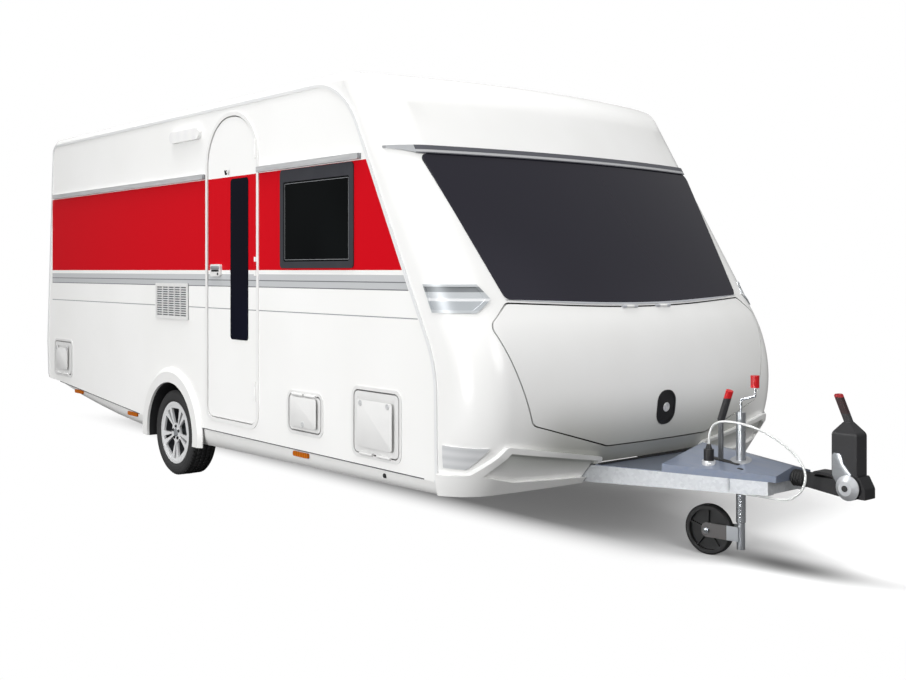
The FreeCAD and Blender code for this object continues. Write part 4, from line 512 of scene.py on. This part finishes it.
FINISHES = {name: finish for finish, names in DRESSES for name in names.split()}
for name, node in frame["nodes"].items():
    node.data.materials.clear()
    node.data.materials.append(FINISHES[name])
    modifier = node.modifiers.new("smooth_faces", "NODES")
    modifier.node_group = smooth_faces
print(len(FINISHES), "frame parts finished")

# %% [markdown]
# ## Pieces that the frame leaves out
# A few small builders cover nearly everything that follows: a turned piece, a plate cut from an
# outline, and a skin through sections. Each makes its mesh where it belongs, so the objects
# stay at the origin, and each piece rides on the body that carries it.

# %% Builders for pieces
def settle(name, form, body, material):
    """Turns the form into an object on a body, smooth up to a crease angle."""
    bmesh.ops.remove_doubles(form, verts=form.verts, dist=0.01 * MM)
    bmesh.ops.recalc_face_normals(form, faces=form.faces)
    mesh = bpy.data.meshes.new(name)
    form.to_mesh(mesh)
    form.free()
    mesh.shade_smooth()
    mesh.set_sharp_from_angle(angle=math.radians(32))
    mesh.materials.append(material)
    thing = new_object(name, mesh)
    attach(thing, body)
    print(name, "rides on", body, "with", len(mesh.polygons), "faces")
    return thing


def turned(form, profile, frame_of, steps, closed=False):
    """Turns (along, radius) points, in millimetres, about the Z axis of a frame matrix."""
    rings = []
    for step in range(steps):
        angle = 2 * math.pi * step / steps
        across = Vector((math.cos(angle), math.sin(angle), 0))
        rings.append([form.verts.new(frame_of @ ((across * r + Vector((0, 0, a))) * MM)) for a, r in profile])
    links = list(range(len(profile) - 1)) + ([-1] if closed else [])
    for here, there in zip(rings, rings[1:] + rings[:1]):
        for i in links:
            form.faces.new((here[i], there[i], there[i + 1], here[i + 1]))
    bmesh.ops.dissolve_degenerate(form, dist=0.001 * MM, edges=form.edges)


def plate(form, outline, low, high, frame_of, edge=0.0):
    """Plate with an outline in millimetres, between two heights along the frame's Z."""
    base = [form.verts.new(frame_of @ (Vector((u, v, low)) * MM)) for u, v in outline]
    face = form.faces.new(base)
    grown = bmesh.ops.extrude_face_region(form, geom=[face])
    tops = [item for item in grown["geom"] if isinstance(item, bmesh.types.BMVert)]
    lift = frame_of.to_3x3() @ Vector((0, 0, (high - low) * MM))
    bmesh.ops.translate(form, verts=tops, vec=lift)
    if edge:
        rims = [e for e in form.edges if all(v in tops for v in e.verts)]
        bmesh.ops.bevel(form, geom=rims, offset=edge * MM, segments=2, affect="EDGES", profile=0.5)


def loft(form, sections):
    """Closed skin through sections, each of which goes along one face and back along the other."""
    rings = [[form.verts.new(point) for point in section] for section in sections]
    for here, there in zip(rings, rings[1:]):
        for i in range(len(here)):
            form.faces.new((here[i - 1], here[i], there[i], there[i - 1]))
    for ring in (rings[0], rings[-1]):
        for i in range(len(ring) // 2 - 1):
            form.faces.new((ring[i], ring[i + 1], ring[-i - 2], ring[-i - 1]))


def round_corners(width, height, radius, steps=6):
    """Outline of a rectangle about its middle, with round corners."""
    points = []
    corners = ((1, 1), (-1, 1), (-1, -1), (1, -1))
    for index, (side, up) in enumerate(corners):
        for step in range(steps + 1):
            angle = math.radians(90 * (index + step / steps))
            points.append((side * (width / 2 - radius) + radius * math.cos(angle),
                           up * (height / 2 - radius) + radius * math.sin(angle)))
    return points


def hexagon(radius):
    """Outline of a bolt's head."""
    return [(radius * math.cos(math.pi * i / 3), radius * math.sin(math.pi * i / 3)) for i in range(6)]


def aimed(place, direction, up=(0, 0, 1)):
    """Frame at a place whose Z looks along a direction, and whose Y is as near to up as can be."""
    z_axis = Vector(direction).normalized()
    x_axis = Vector(up).cross(z_axis).normalized()
    y_axis = z_axis.cross(x_axis)
    turn = Matrix((x_axis, y_axis, z_axis)).transposed().to_4x4()
    return Matrix.Translation(Vector(place)) @ turn

# %% [markdown]
# Bolts, screws and tread blocks come in rings and rows. One piece is built, and a node tree
# repeats it round the Y axis or along a step. The result is kept as a plain mesh.

# %% Rings and rows with Geometry Nodes
def repeat_tree(name, ring):
    """Node tree that repeats a piece round the Y axis, or along a step."""
    tree = bpy.data.node_groups.new(name, "GeometryNodeTree")
    for socket, kind in (("Geometry", "Geometry"), ("Count", "Int"), ("Radius", "Float"),
                         ("Start", "Vector"), ("Step", "Vector"), ("Finish", "Material")):
        tree.interface.new_socket(socket, in_out="INPUT", socket_type="NodeSocket" + kind)
    tree.interface.new_socket("Geometry", in_out="OUTPUT", socket_type="NodeSocketGeometry")
    given = add(tree, "NodeGroupInput").node.outputs
    index = add(tree, "GeometryNodeInputIndex")
    seats = add(tree, "GeometryNodeMeshLine", given["Count"], (0, 0, 0), (0, 0, 0))
    if ring:
        around = add(tree, MATH, index, 2 * math.pi, operation="MULTIPLY")
        turn = add(tree, MATH, around, given["Count"], operation="DIVIDE")
        parts = [add(tree, MATH, add(tree, MATH, turn, operation=wave),
                     given["Radius"], operation="MULTIPLY") for wave in ("SINE", "COSINE")]
        away = add(tree, "ShaderNodeCombineXYZ", named={"X": parts[0], "Z": parts[1]})
        rotation = add(tree, "ShaderNodeCombineXYZ", named={"Y": turn})
    else:
        away = add(tree, "ShaderNodeVectorMath", given["Step"], index, operation="SCALE")
        rotation = (0, 0, 0)
    place = add(tree, "ShaderNodeVectorMath", away, given["Start"], operation="ADD")
    points = add(tree, "GeometryNodeSetPosition", seats, named={"Position": place})
    copies = add(tree, "GeometryNodeInstanceOnPoints", points, named={
        "Instance": given["Geometry"], "Rotation": rotation})
    solid = add(tree, "GeometryNodeRealizeInstances", copies)
    done = add(tree, "GeometryNodeSetMaterial", solid, named={"Material": given["Finish"]})
    add(tree, "NodeGroupOutput", done)
    return tree


ring_tree = repeat_tree("pieces_in_a_ring", True)
row_tree = repeat_tree("pieces_in_a_row", False)


def repeated(name, form, tree, body, material, slot, **inputs):
    """Repeats a small form with a node tree, and keeps the result as a plain mesh."""
    thing = settle(name, form, body, material)
    modifier = thing.modifiers.new("repeat", "NODES")
    modifier.node_group = tree
    named = {item.name: item.identifier for item in tree.interface.items_tree if item.in_out == "INPUT"}
    for socket, value in inputs.items():
        modifier[named[socket]] = value
    modifier[named["Finish"]] = material
    bpy.context.view_layer.update()
    mesh = bpy.data.meshes.new_from_object(thing.evaluated_get(bpy.context.evaluated_depsgraph_get()))
    thing.modifiers.clear()
    thing.data = mesh
    thing.data.name = name
    print(name, "repeated", inputs["Count"], "times")

# %% [markdown]
# ## Tyres
# The frame's tyres are plain rings. Here each gets a carcass with a bulged side wall, a rim
# protector and a moulded line, and sixty pitches of tread: five blocks across, the outer ones
# slanted. The blocks reach as far out as the frame's tyre does, to within a millimetre.

# %% Tyres with tread
WHEELS = ((-1, "right_wheel"), (1, "left_wheel"))
TYRE_SIDE = [(80, 212), (83, 224), (91, 229), (95, 236), (95.5, 238), (97.5, 240), (99.5, 254), (100, 264),
             (98.5, 266), (98.5, 269), (99, 271), (96, 283), (91, 291), (84, 297), (60, 298.4), (0, 299)]
TREAD_ROWS = [(-70, 20, -7), (-36, 24, 4), (0, 24, 0), (36, 24, 4), (70, 20, -7)]  # across, width, slant
PITCHES = 60
BLOCK_HALF = 12  # half of a block's length round the tyre
TREAD_FOOT, TREAD_TOP = -8, -1.0  # from the circle round the hub that touches the floor
CROWN = 0.018  # how much lower a block ends for each millimetre off the middle
for side, body in WHEELS:
    name = body.replace("wheel", "tyre")
    hub = Vector((AXLE_X, side * WHEEL_Y, AXLE_Z))
    form = bmesh.new()
    profile = [(-a, r) for a, r in TYRE_SIDE[:-1]] + [TYRE_SIDE[-1]] + TYRE_SIDE[-2::-1]
    turned(form, profile, aimed(hub, (0, 1, 0)), 72, closed=True)
    carcass = settle(name + "_carcass", form, body, tyre_rubber)
    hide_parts(name)
    form = bmesh.new()
    for across, width, slant in TREAD_ROWS:
        inner, outer = across - width / 2, across + width / 2
        outline = [(inner, -BLOCK_HALF - slant), (outer, -BLOCK_HALF + slant),
                   (outer, BLOCK_HALF + slant), (inner, BLOCK_HALF - slant)]
        top = TREAD_TOP - CROWN * abs(across)
        plate(form, outline, TREAD_FOOT, top, aimed((0, 0, 0), (0, 0, 1), (1, 0, 0)), 1.2)
    repeated(name + "_tread", form, ring_tree, body, tyre_rubber, "tyre_rubber",
             Count=PITCHES, Radius=AXLE_Z, Start=hub)

# %% [markdown]
# ## Wheel bolts and hub caps
# Five bolts hold each wheel, and a small cap closes the middle of the disc.

# %% Bolts and caps
DISC_FACE = 1.223
BOLT_CIRCLE = 0.045
CAP_PROFILE = [(-1, 29), (4, 29), (8, 26), (9.5, 20), (9.5, 18), (8.5, 17), (8.5, 0)]
for side, body in WHEELS:
    face = Vector((AXLE_X, side * DISC_FACE, AXLE_Z))
    form = bmesh.new()
    outward = aimed((0, 0, 0), (0, side, 0))
    plate(form, hexagon(9.5), -1, 9, outward, 1.5)
    turned(form, [(-1, 12), (1.5, 12), (1.5, 0)], outward, 24)
    # The bolts' black is painted shade, for the dark holes in which they sit.
    repeated(body + "_bolts", form, ring_tree, body, bolt_black_painted_shade, "alloy",
             Count=5, Radius=BOLT_CIRCLE, Start=face)
    form = bmesh.new()
    turned(form, CAP_PROFILE, aimed(face, (0, side, 0)), 40)
    settle(body + "_cap", form, body, silver_paint)

# %% [markdown]
# ## Jockey wheel bolt
# A bolt goes through the fork and the wheel's hub. The fork stands turned by ten degrees, so the
# frame of the joint gives the direction.

# %% Jockey wheel bolt
FORK_HALF = 41 * MM  # from the wheel's middle to the fork's outer face
axle_joint = next(j for j in frame["joints"] if j["name"] == "jockey_axle")
hub, along = Vector(axle_joint["pos_m"]), Vector(axle_joint["axis"])
form = bmesh.new()
for side in (-1, 1):
    seat = aimed(hub + side * FORK_HALF * along, side * along)
    turned(form, [(-1, 15), (2, 15), (2, 0)], seat, 28)
    plate(form, hexagon(10), 1, 9, seat, 1.0)
settle("jockey_axle_bolt", form, "jockey_swivel", bright_zinc)

# %% [markdown]
# ## Door furniture
# The door's handle plate gets a grip with a finger gap behind it and a round key barrel. Near
# the door's top, a catch with two claws holds the open door to the wall.

# %% Door furniture
low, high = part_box("door_handle")
plate_face = Vector(((low.x + high.x) / 2, low.y, (low.z + high.z) / 2))
form = bmesh.new()
seat = aimed(plate_face, (0, -1, 0))
plate(form, round_corners(118, 22, 8), -0.5, 5, seat @ Matrix.Translation((0, 0.018, 0)), 2.0)
settle("door_grip", form, "door", grey_plastic)
form = bmesh.new()
plate(form, round_corners(104, 14, 5), -0.5, 0.6, seat @ Matrix.Translation((0, -0.002, 0)))
turned(form, [(-0.5, 9), (2.5, 9), (3, 8), (3, 0)], seat @ Matrix.Translation((0.04, -0.024, 0)), 24)
settle("door_key_barrel", form, "door", black_plastic)
form = bmesh.new()
seat = aimed((-0.252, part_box("door_leaf")[0].y, 2.113), (0, -1, 0))
turned(form, [(-1, 8), (9, 8), (10, 7), (10, 0)], seat, 20)
for tilt in (-0.5, 0.5):
    claw = seat @ Matrix.Rotation(tilt, 4, "Z") @ Matrix.Translation((0, 0.012, 0))
    plate(form, round_corners(9, 30, 4), 6, 10, claw, 1.0)
settle("door_catch", form, "door", black_plastic)

# %% [markdown]
# ## Side skirts
# A dark seal runs along the wall's foot, level ahead of the wheel and rising behind it. Below
# it hang the skirts. In the frame they are flat panels. The real ones are rolled under toward
# their lower edge, which is what makes them darken downward, so each gets a section that curves
# in by 36 mm. The rear one also has a slightly bowed foot.

# %% Foot seals
SKIRT_FRONT = [(375, 384, 263), (3030, 384, 310)]  # (x, top, foot) in millimetres
SKIRT_REAR = [(-520, 384, 292), (-560, 384, 294), (-700, 394.7, 303), (-1070, 422.9, 332),
              (-1450, 451.8, 374), (-1850, 482.3, 425), (-2181, 507.5, 496)]
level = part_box("right_wall")[0].z + 0.004
last_x, last_top = SKIRT_REAR[-1][:2]
SEAL_RUNS = (((0.40, level), (2.93, level)), ((-0.56, 0.387), (last_x * MM, last_top * MM + 0.003)))
for side, name in ((-1, "right"), (1, "left")):
    form = bmesh.new()
    for run in SEAL_RUNS:
        start, end = [Vector((x + AXLE_X, side * SIDE_Y, z)) for x, z in run]
        seat = aimed((start + end) / 2, (0, side, 0), (end - start).cross((0, 1, 0)))
        plate(form, round_corners((end - start).length / MM, 6, 2), -2, 2.5, seat, 1.0)
    settle("foot_seal_" + name, form, "caravan", seal_rubber)

# %% Rolled skirts
SKIRT_FACE = 1236
SKIRT_WALL = 3
SKIRT_ROLL = 36


def rolled_skirt(form, stations, side):
    """Panel with a rolled-under foot, through stations of (x, top, foot) in millimetres."""
    shares = [i / 10 for i in range(11)]
    outline = [(0, share) for share in shares] + [(SKIRT_WALL, share) for share in reversed(shares)]
    loft(form, [[(x * MM + AXLE_X, side * (SKIRT_FACE - depth - SKIRT_ROLL * share ** 3) * MM,
                  (top + share * (foot - top)) * MM) for depth, share in outline]
                for x, top, foot in stations])


form = bmesh.new()
for side in (-1, 1):
    rolled_skirt(form, SKIRT_FRONT, side)
    rolled_skirt(form, SKIRT_REAR, side)
rolled = settle("rolled_skirts", form, "caravan", moulded_trim)
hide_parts("skirts")

# %% [markdown]
# A black liner follows the inside of each wheel arch, a little more than half round, and a
# rubber plug closes the jacking hole in the right front skirt.

# %% Arch liners and jacking plug
LINER_RADII = (360, 364.5)
LINER_SIDES = (1262, 980)
LINER_FROM, LINER_SWEEP, LINER_STEPS = -9, 198, 40
inner, outer = LINER_RADII
near, deep = LINER_SIDES
form = bmesh.new()
for side in (-1, 1):
    sections = []
    for step in range(LINER_STEPS + 1):
        angle = math.radians(LINER_FROM + LINER_SWEEP * step / LINER_STEPS)
        corners = ((inner, near), (outer, near), (outer, deep), (inner, deep))
        sections.append([(AXLE_X + r * MM * math.cos(angle), side * y * MM, AXLE_Z + r * MM * math.sin(angle))
                         for r, y in corners])
    loft(form, sections)
settle("arch_liners", form, "caravan", housing_plastic)
form = bmesh.new()
turned(form, [(-6, 13), (3, 13), (4, 11), (4, 0)], aimed((1.477, -SKIRT_FACE * MM, 0.352), (0, -1, 0)), 24)
settle("jacking_plug", form, "caravan", black_rubber)

# %% [markdown]
# ## Service flaps
# Each flap has a pressed field in its middle and round quarter-turn locks: two at the top of the
# wide flaps, and one at the foot of the small one.

# %% Flap fields and locks
FLAPS = (  # part, body, field's shares of width and height, locks, their side
    ("large_flap", "large_hatch", 0.80, 0.74, 2, 1),
    ("small_flap", "small_hatch", 0.84, 0.80, 1, -1),
    ("rear_flap", "rear_hatch", 0.70, 0.66, 2, 1),
)
LOCK_UP = 0.32  # share of the flap's height between its middle and its locks
LOCKS_APART = 0.62  # share of its width between two locks
LOCK_PROFILE = [(-0.5, 17), (3, 17), (4.5, 15), (4.5, 10), (3, 9), (3, 0)]
for node, body, across, up, locks, lock_side in FLAPS:
    low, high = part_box(node)
    wide, tall = (high.x - low.x) / MM, (high.z - low.z) / MM
    middle = Vector(((low.x + high.x) / 2, low.y, (low.z + high.z) / 2))
    form = bmesh.new()
    plate(form, round_corners(wide * across, tall * up, 18), -0.5, 1.2, aimed(middle, (0, -1, 0)), 1.0)
    settle(node + "_field", form, body, white_abs)
    form = bmesh.new()
    for index in range(locks):
        aside = (index - (locks - 1) / 2) * wide * LOCKS_APART * MM
        seat = aimed(middle + Vector((aside, 0, lock_side * tall * MM * LOCK_UP)), (0, -1, 0))
        turned(form, LOCK_PROFILE, seat, 28)
        plate(form, round_corners(14, 4, 1.4), 2.5, 5.5, seat, 0.5)
    settle(node + "_locks", form, body, lock_plastic)

# %% [markdown]
# ## Window line and rail ends
# The side window's double pane is bonded along a pale line just inside its edge. The rails over
# the windows end in caps.

# %% Pane line and rail caps
LINE_INSET, LINE_WIDTH = 11, 3


def pane_line(form, wide, tall, seat):
    """Thin rectangular line just inside the rim of a pane."""
    for along in (wide / 2 - LINE_INSET, -wide / 2 + LINE_INSET):
        outline = [(along + u, v) for u, v in round_corners(LINE_WIDTH, tall - 2 * LINE_INSET, 1)]
        plate(form, outline, -0.3, 0.5, seat)
    for up in (tall / 2 - LINE_INSET, -tall / 2 + LINE_INSET):
        outline = [(u, up + v) for u, v in round_corners(wide - 2 * LINE_INSET, LINE_WIDTH, 1)]
        plate(form, outline, -0.3, 0.5, seat)


pane_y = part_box("window_panes")[0].y
right_pane = [v.co for v in frame["nodes"]["window_panes"].data.vertices if v.co.y < pane_y + MM]
pane_x = [min(co.x for co in right_pane), max(co.x for co in right_pane)]
pane_z = [min(co.z for co in right_pane), max(co.z for co in right_pane)]
form = bmesh.new()
middle = Vector((sum(pane_x) / 2, pane_y, sum(pane_z) / 2))
pane_line(form, (pane_x[1] - pane_x[0]) / MM, (pane_z[1] - pane_z[0]) / MM, aimed(middle, (0, -1, 0)))
settle("side_window_line", form, "caravan", grey_plastic)
rail_low, rail_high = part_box("window_rails")
rail_y, rail_z = (rail_low.y + rail_high.y) / 2, (rail_low.z + rail_high.z) / 2
form = bmesh.new()
for end, way in ((rail_low.x, -1), (0.499 + AXLE_X, 1), (1.233 + AXLE_X, -1), (rail_high.x, 1)):
    plate(form, round_corners(22, 33, 4), -1, 5, aimed((end, rail_y, rail_z), (way, 0, 0)), 1.5)
settle("rail_end_caps", form, "caravan", grey_plastic)

# %% [markdown]
# ## Hitch details
# The cover's openings are lined: a rubber slot for the brake lever, a small one beside it and a
# grey ring round the mast. They lie on the cover's slope, which falls toward the nose and to each
# side. A seal closes its step, and bolts hold the A-frame to the chassis rails.

# %% Cover slots and frame bolts
COVER_NOSE, NOSE_HEIGHT = 4.310, 0.501  # where the cover's ridge is measured
COVER_CLIMB = 0.095  # rise of the ridge toward the body
COVER_FALL = 0.2375  # fall to each side
SEAL_X, SEAL_FOOT = 3.41 + AXLE_X, 0.438


def on_cover(x, y):
    """Frame on the right-hand slope of the drawbar cover, above a place in millimetres."""
    ridge = NOSE_HEIGHT + (COVER_NOSE - x * MM) * COVER_CLIMB
    along, across = Vector((1, 0, -COVER_CLIMB)), Vector((0, 1, COVER_FALL))
    return aimed((x * MM + AXLE_X, y * MM, ridge + y * MM * COVER_FALL), along.cross(across), (1, 0, 0))


form = bmesh.new()
plate(form, round_corners(26, 170, 10), -1, 3, on_cover(3996, -130), 1.0)
plate(form, round_corners(14, 34, 6), -1, 1.5, on_cover(4115, -168), 0.5)
settle("cover_slots", form, "caravan", black_rubber)
form = bmesh.new()
turned(form, [(-1, 25.5), (5, 25.5), (6, 30), (4, 40), (2.5, 54), (-1, 56)], on_cover(4054, -80), 44)
settle("mast_ring", form, "caravan", grey_plastic)
form = bmesh.new()
plate(form, round_corners(24, 886, 6), -0.5, 7.0, aimed((SEAL_X, 0, SEAL_FOOT), (0, 0, 1), (0, 1, 0)), 1.0)
settle("cover_seal", form, "caravan", black_rubber)
for side, name in ((-1, "right"), (1, "left")):
    form = bmesh.new()
    outward = aimed((0, 0, 0), (0, side, 0))
    turned(form, [(-1, 14), (2.5, 14), (2.5, 0)], outward, 24)
    plate(form, hexagon(10), 2, 10, outward, 1.0)
    repeated("frame_bolts_" + name, form, row_tree, "caravan", bright_zinc, "chassis_steel",
             Count=4, Start=(2.63 + AXLE_X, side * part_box("drawbar")[1].y, 0.382), Step=(0.07, 0, 0))

# %% [markdown]
# The stabiliser's handle turns in a pressed silver yoke, one plate on each side, which starts
# behind the friction caps.

# %% Stabiliser yoke
YOKE = [(4576, 462), (4650, 462), (4652, 512), (4612, 556), (4600, 596), (4590, 604), (4564, 604),
        (4554, 594), (4554, 500)]  # (x, height) in millimetres
YOKE_X, YOKE_Y, YOKE_Z = 4600, 44, 530
form = bmesh.new()
for side in (-1, 1):
    outline = [(-side * (x - YOKE_X), z - YOKE_Z) for x, z in YOKE]
    seat = aimed((YOKE_X * MM + AXLE_X, side * YOKE_Y * MM, YOKE_Z * MM), (0, side, 0))
    plate(form, outline, 0.2, 7.0, seat, 1.5)
settle("stabiliser_yoke", form, "caravan", silver_paint)

# %% [markdown]
# ## Locker lock
# A key barrel sits in the oval plate on the lid. The plate's own front faces give its place and
# slope.

# %% Locker lock
centre, slope, total = Vector(), Vector(), 0.0
for polygon in frame["nodes"]["lid_lock"].data.polygons:
    if polygon.normal.x > 0.8:
        centre += polygon.center * polygon.area
        slope += polygon.normal * polygon.area
        total += polygon.area
form = bmesh.new()
seat = aimed(centre / total, slope)
turned(form, [(-2, 26), (2, 26), (4, 24), (4, 15), (2.5, 14), (2.5, 0)], seat, 36)
plate(form, round_corners(4, 16, 1.8), 2, 3.4, seat)
settle("locker_key_barrel", form, "lid", silver_trim)

# %% [markdown]
# ## The lead
# The lead runs from its parked plug in one wide bow over the hitch and back under the A-frame to
# the junction box. A curve with the same points as the frame's tube makes it a soft round line.

# %% Lead
LEAD_X = [3945, 3945, 3975, 4030, 4100, 4180, 4262, 4345, 4420, 4462, 4446, 4384, 4312, 4228, 4146, 4066,
          3985, 3908, 3828, 3744, 3656, 3580, 3510, 3440, 3400]
LEAD_Y = [-200, -200, -197, -190, -180, -168, -154, -136, -124, -120, -128, -138, -142, -144, -150, -164,
          -188, -226, -272, -306, -338, -366, -400, -411, -411]
LEAD_Z = [588, 645, 695, 712, 711, 699, 672, 627, 568, 494, 412, 362, 352, 355, 353, 356, 360, 372, 370,
          367, 365, 364, 361, 359, 359]
route = [Vector((x * MM + AXLE_X, y * MM, z * MM)) for x, y, z in zip(LEAD_X, LEAD_Y, LEAD_Z)]
curve = bpy.data.curves.new("lead_line", "CURVE")
curve.dimensions = "3D"
curve.bevel_depth = 0.006
curve.bevel_resolution = 5
spline = curve.splines.new("NURBS")
spline.points.add(len(route) - 1)
for point, place in zip(spline.points, route):
    point.co = (*place, 1)
spline.order_u = 3
spline.use_endpoint_u = True
spline.resolution_u = 8
curve.use_fill_caps = True
lead = new_object("lead_line", curve)
curve.materials.append(lead_sheath)
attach(lead, "caravan")
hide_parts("lead")
print("lead through", len(route), "points")

# %% [markdown]
# ## Stage
# A pale studio: a white floor that keeps the soft shadow, white paper all round for the camera
# and for reflections, and broad lights. The floor turns to plain white away from the caravan's
# footprint, so that no horizon shows. It gives back little light, which lets the front's
# downward faces go grey, as they do over dark ground. A darker streak below the hitch stands for
# the deep shadow that the photograph has there.

# %% Studio floor
FLOOR_REACH = 60
KEPT_GLOW = 0.10  # how much plain white lies over the shadow in the footprint
# The footprint's four edges: each is an axis, where the fading starts and where it is done.
EDGES = ((0, 3.7, 4.5), (0, -3.6, -5.6), (1, -0.1, -0.62), (1, 1.4, 2.6))
STREAK_X, STREAK_LONG, STREAK_WIDE = 3.15, 0.75, 0.24
corners = [(x * FLOOR_REACH, y * FLOOR_REACH, 0) for x, y in ((-1, -1), (1, -1), (1, 1), (-1, 1))]
floor_mesh = bpy.data.meshes.new("studio_floor")
floor_mesh.from_pydata(corners, [], [(0, 1, 2, 3)])
studio_floor = new_object("studio_floor", floor_mesh)
studio_floor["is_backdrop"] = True
paper = bpy.data.materials.new("studio_paper")
tree = blank_tree(paper)
seen = add(tree, "ShaderNodeLightPath", out="Is Camera Ray")
spot = add(tree, "ShaderNodeTexCoord", out="Object")
axes = add(tree, "ShaderNodeSeparateXYZ", spot).node.outputs
far = KEPT_GLOW
for axis, near, gone in EDGES:
    step = add(tree, RANGE, axes[axis], near, gone, 0.0, 1.0, **SOFT)
    far = add(tree, MATH, far, step, operation="MAXIMUM")
oval = add(tree, "ShaderNodeMapping", named={
    "Vector": spot, "Location": (-STREAK_X / STREAK_LONG, 0.0, 0.0),
    "Scale": (1 / STREAK_LONG, 1 / STREAK_WIDE, 0.0)})
off_middle = add(tree, "ShaderNodeVectorMath", oval, operation="LENGTH")
streak = add(tree, RANGE, off_middle, 1.0, 0.0, 0.0, 1.0, **SOFT)
ground = add(tree, MIX, streak, linear("#FBFBFB"), linear("#5A5A5A"), data_type="RGBA")
colour = add(tree, MIX, seen, linear("#666666"), ground, data_type="RGBA")
matt = add(tree, "ShaderNodeBsdfDiffuse", colour)
glow = add(tree, "ShaderNodeEmission", (1, 1, 1, 1), 1.0)
share = add(tree, MATH, seen, far, operation="MULTIPLY")
add(tree, "ShaderNodeOutputMaterial", add(tree, "ShaderNodeMixShader", share, matt, glow))
floor_mesh.materials.append(paper)
print("floor reaches", FLOOR_REACH, "m each way")

# %% [markdown]
# The camera sees the paper all round at full white. As a light it is weaker, most of all near
# the horizon, so that faces that look up are the brightest. Mirrors show about half of it.

# %% Paper all round
GLOSSY_SHARE = 0.55
LIGHT_LEVEL, LIGHT_ABOVE = 0.30, 0.80  # at the horizon and from above
world = bpy.data.worlds.new("studio")
bpy.context.scene.world = world
tree = blank_tree(world)
rays = add(tree, "ShaderNodeLightPath").node.outputs
seen = add(tree, MATH, rays["Is Camera Ray"], rays["Is Transmission Ray"], operation="MAXIMUM")
upward = add(tree, "ShaderNodeSeparateXYZ", add(tree, "ShaderNodeTexCoord", out="Generated"), out="Z")
light = add(tree, RANGE, upward, 0.0, 0.7, LIGHT_LEVEL, LIGHT_ABOVE, **SOFT)
strength = add(tree, MATH, seen, light, operation="MAXIMUM")
mirrored = add(tree, MIX, rays["Is Glossy Ray"], 1.0, GLOSSY_SHARE)
strength = add(tree, MATH, strength, mirrored, operation="MULTIPLY")
add(tree, "ShaderNodeOutputWorld", add(tree, "ShaderNodeBackground", (1, 1, 1, 1), strength))
print("paper lights with", LIGHT_LEVEL, "to", LIGHT_ABOVE, "of its white")

# %% [markdown]
# A broad light hangs overhead, two more fill the side and the front, and a small one with a
# narrow beam lifts the hitch out of the shadow.

# %% Lights
def soft_light(name, place, target, size, power, beam=180):
    """Round light of a size in metres and a power in watts, whose beam is given in degrees."""
    light = bpy.data.lights.new(name, "AREA")
    light.spread = math.radians(beam)
    light.shape = "DISK"
    light.size = size
    light.energy = power
    holder = new_object(name, light)
    holder.location = place
    holder.rotation_euler = (Vector(target) - Vector(place)).to_track_quat("-Z", "Y").to_euler()
    holder.visible_camera = False
    print(name, power, "W")


soft_light("overhead", (-0.8, -1.6, 9.0), (-0.4, 0, 1), 4.0, 460)
soft_light("side_fill", (1.0, -10.0, 1.8), (0.3, 0, 0.8), 5.0, 530)
soft_light("front_fill", (10.0, -2.5, 5.2), (2.4, 0, 1.4), 4.0, 255)
soft_light("hitch_light", (5.2, -4.6, 0.9), (3.15, -0.1, 0.38), 0.8, 1.3, 20)
bpy.context.scene.view_settings.view_transform = "Standard"

# %% [markdown]
# ## Sizes of the dressed caravan
# The box round every shown object, the floor aside, is measured. The dressed caravan
# has to stay inside the CAD box.

# %% Finish
low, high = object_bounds()
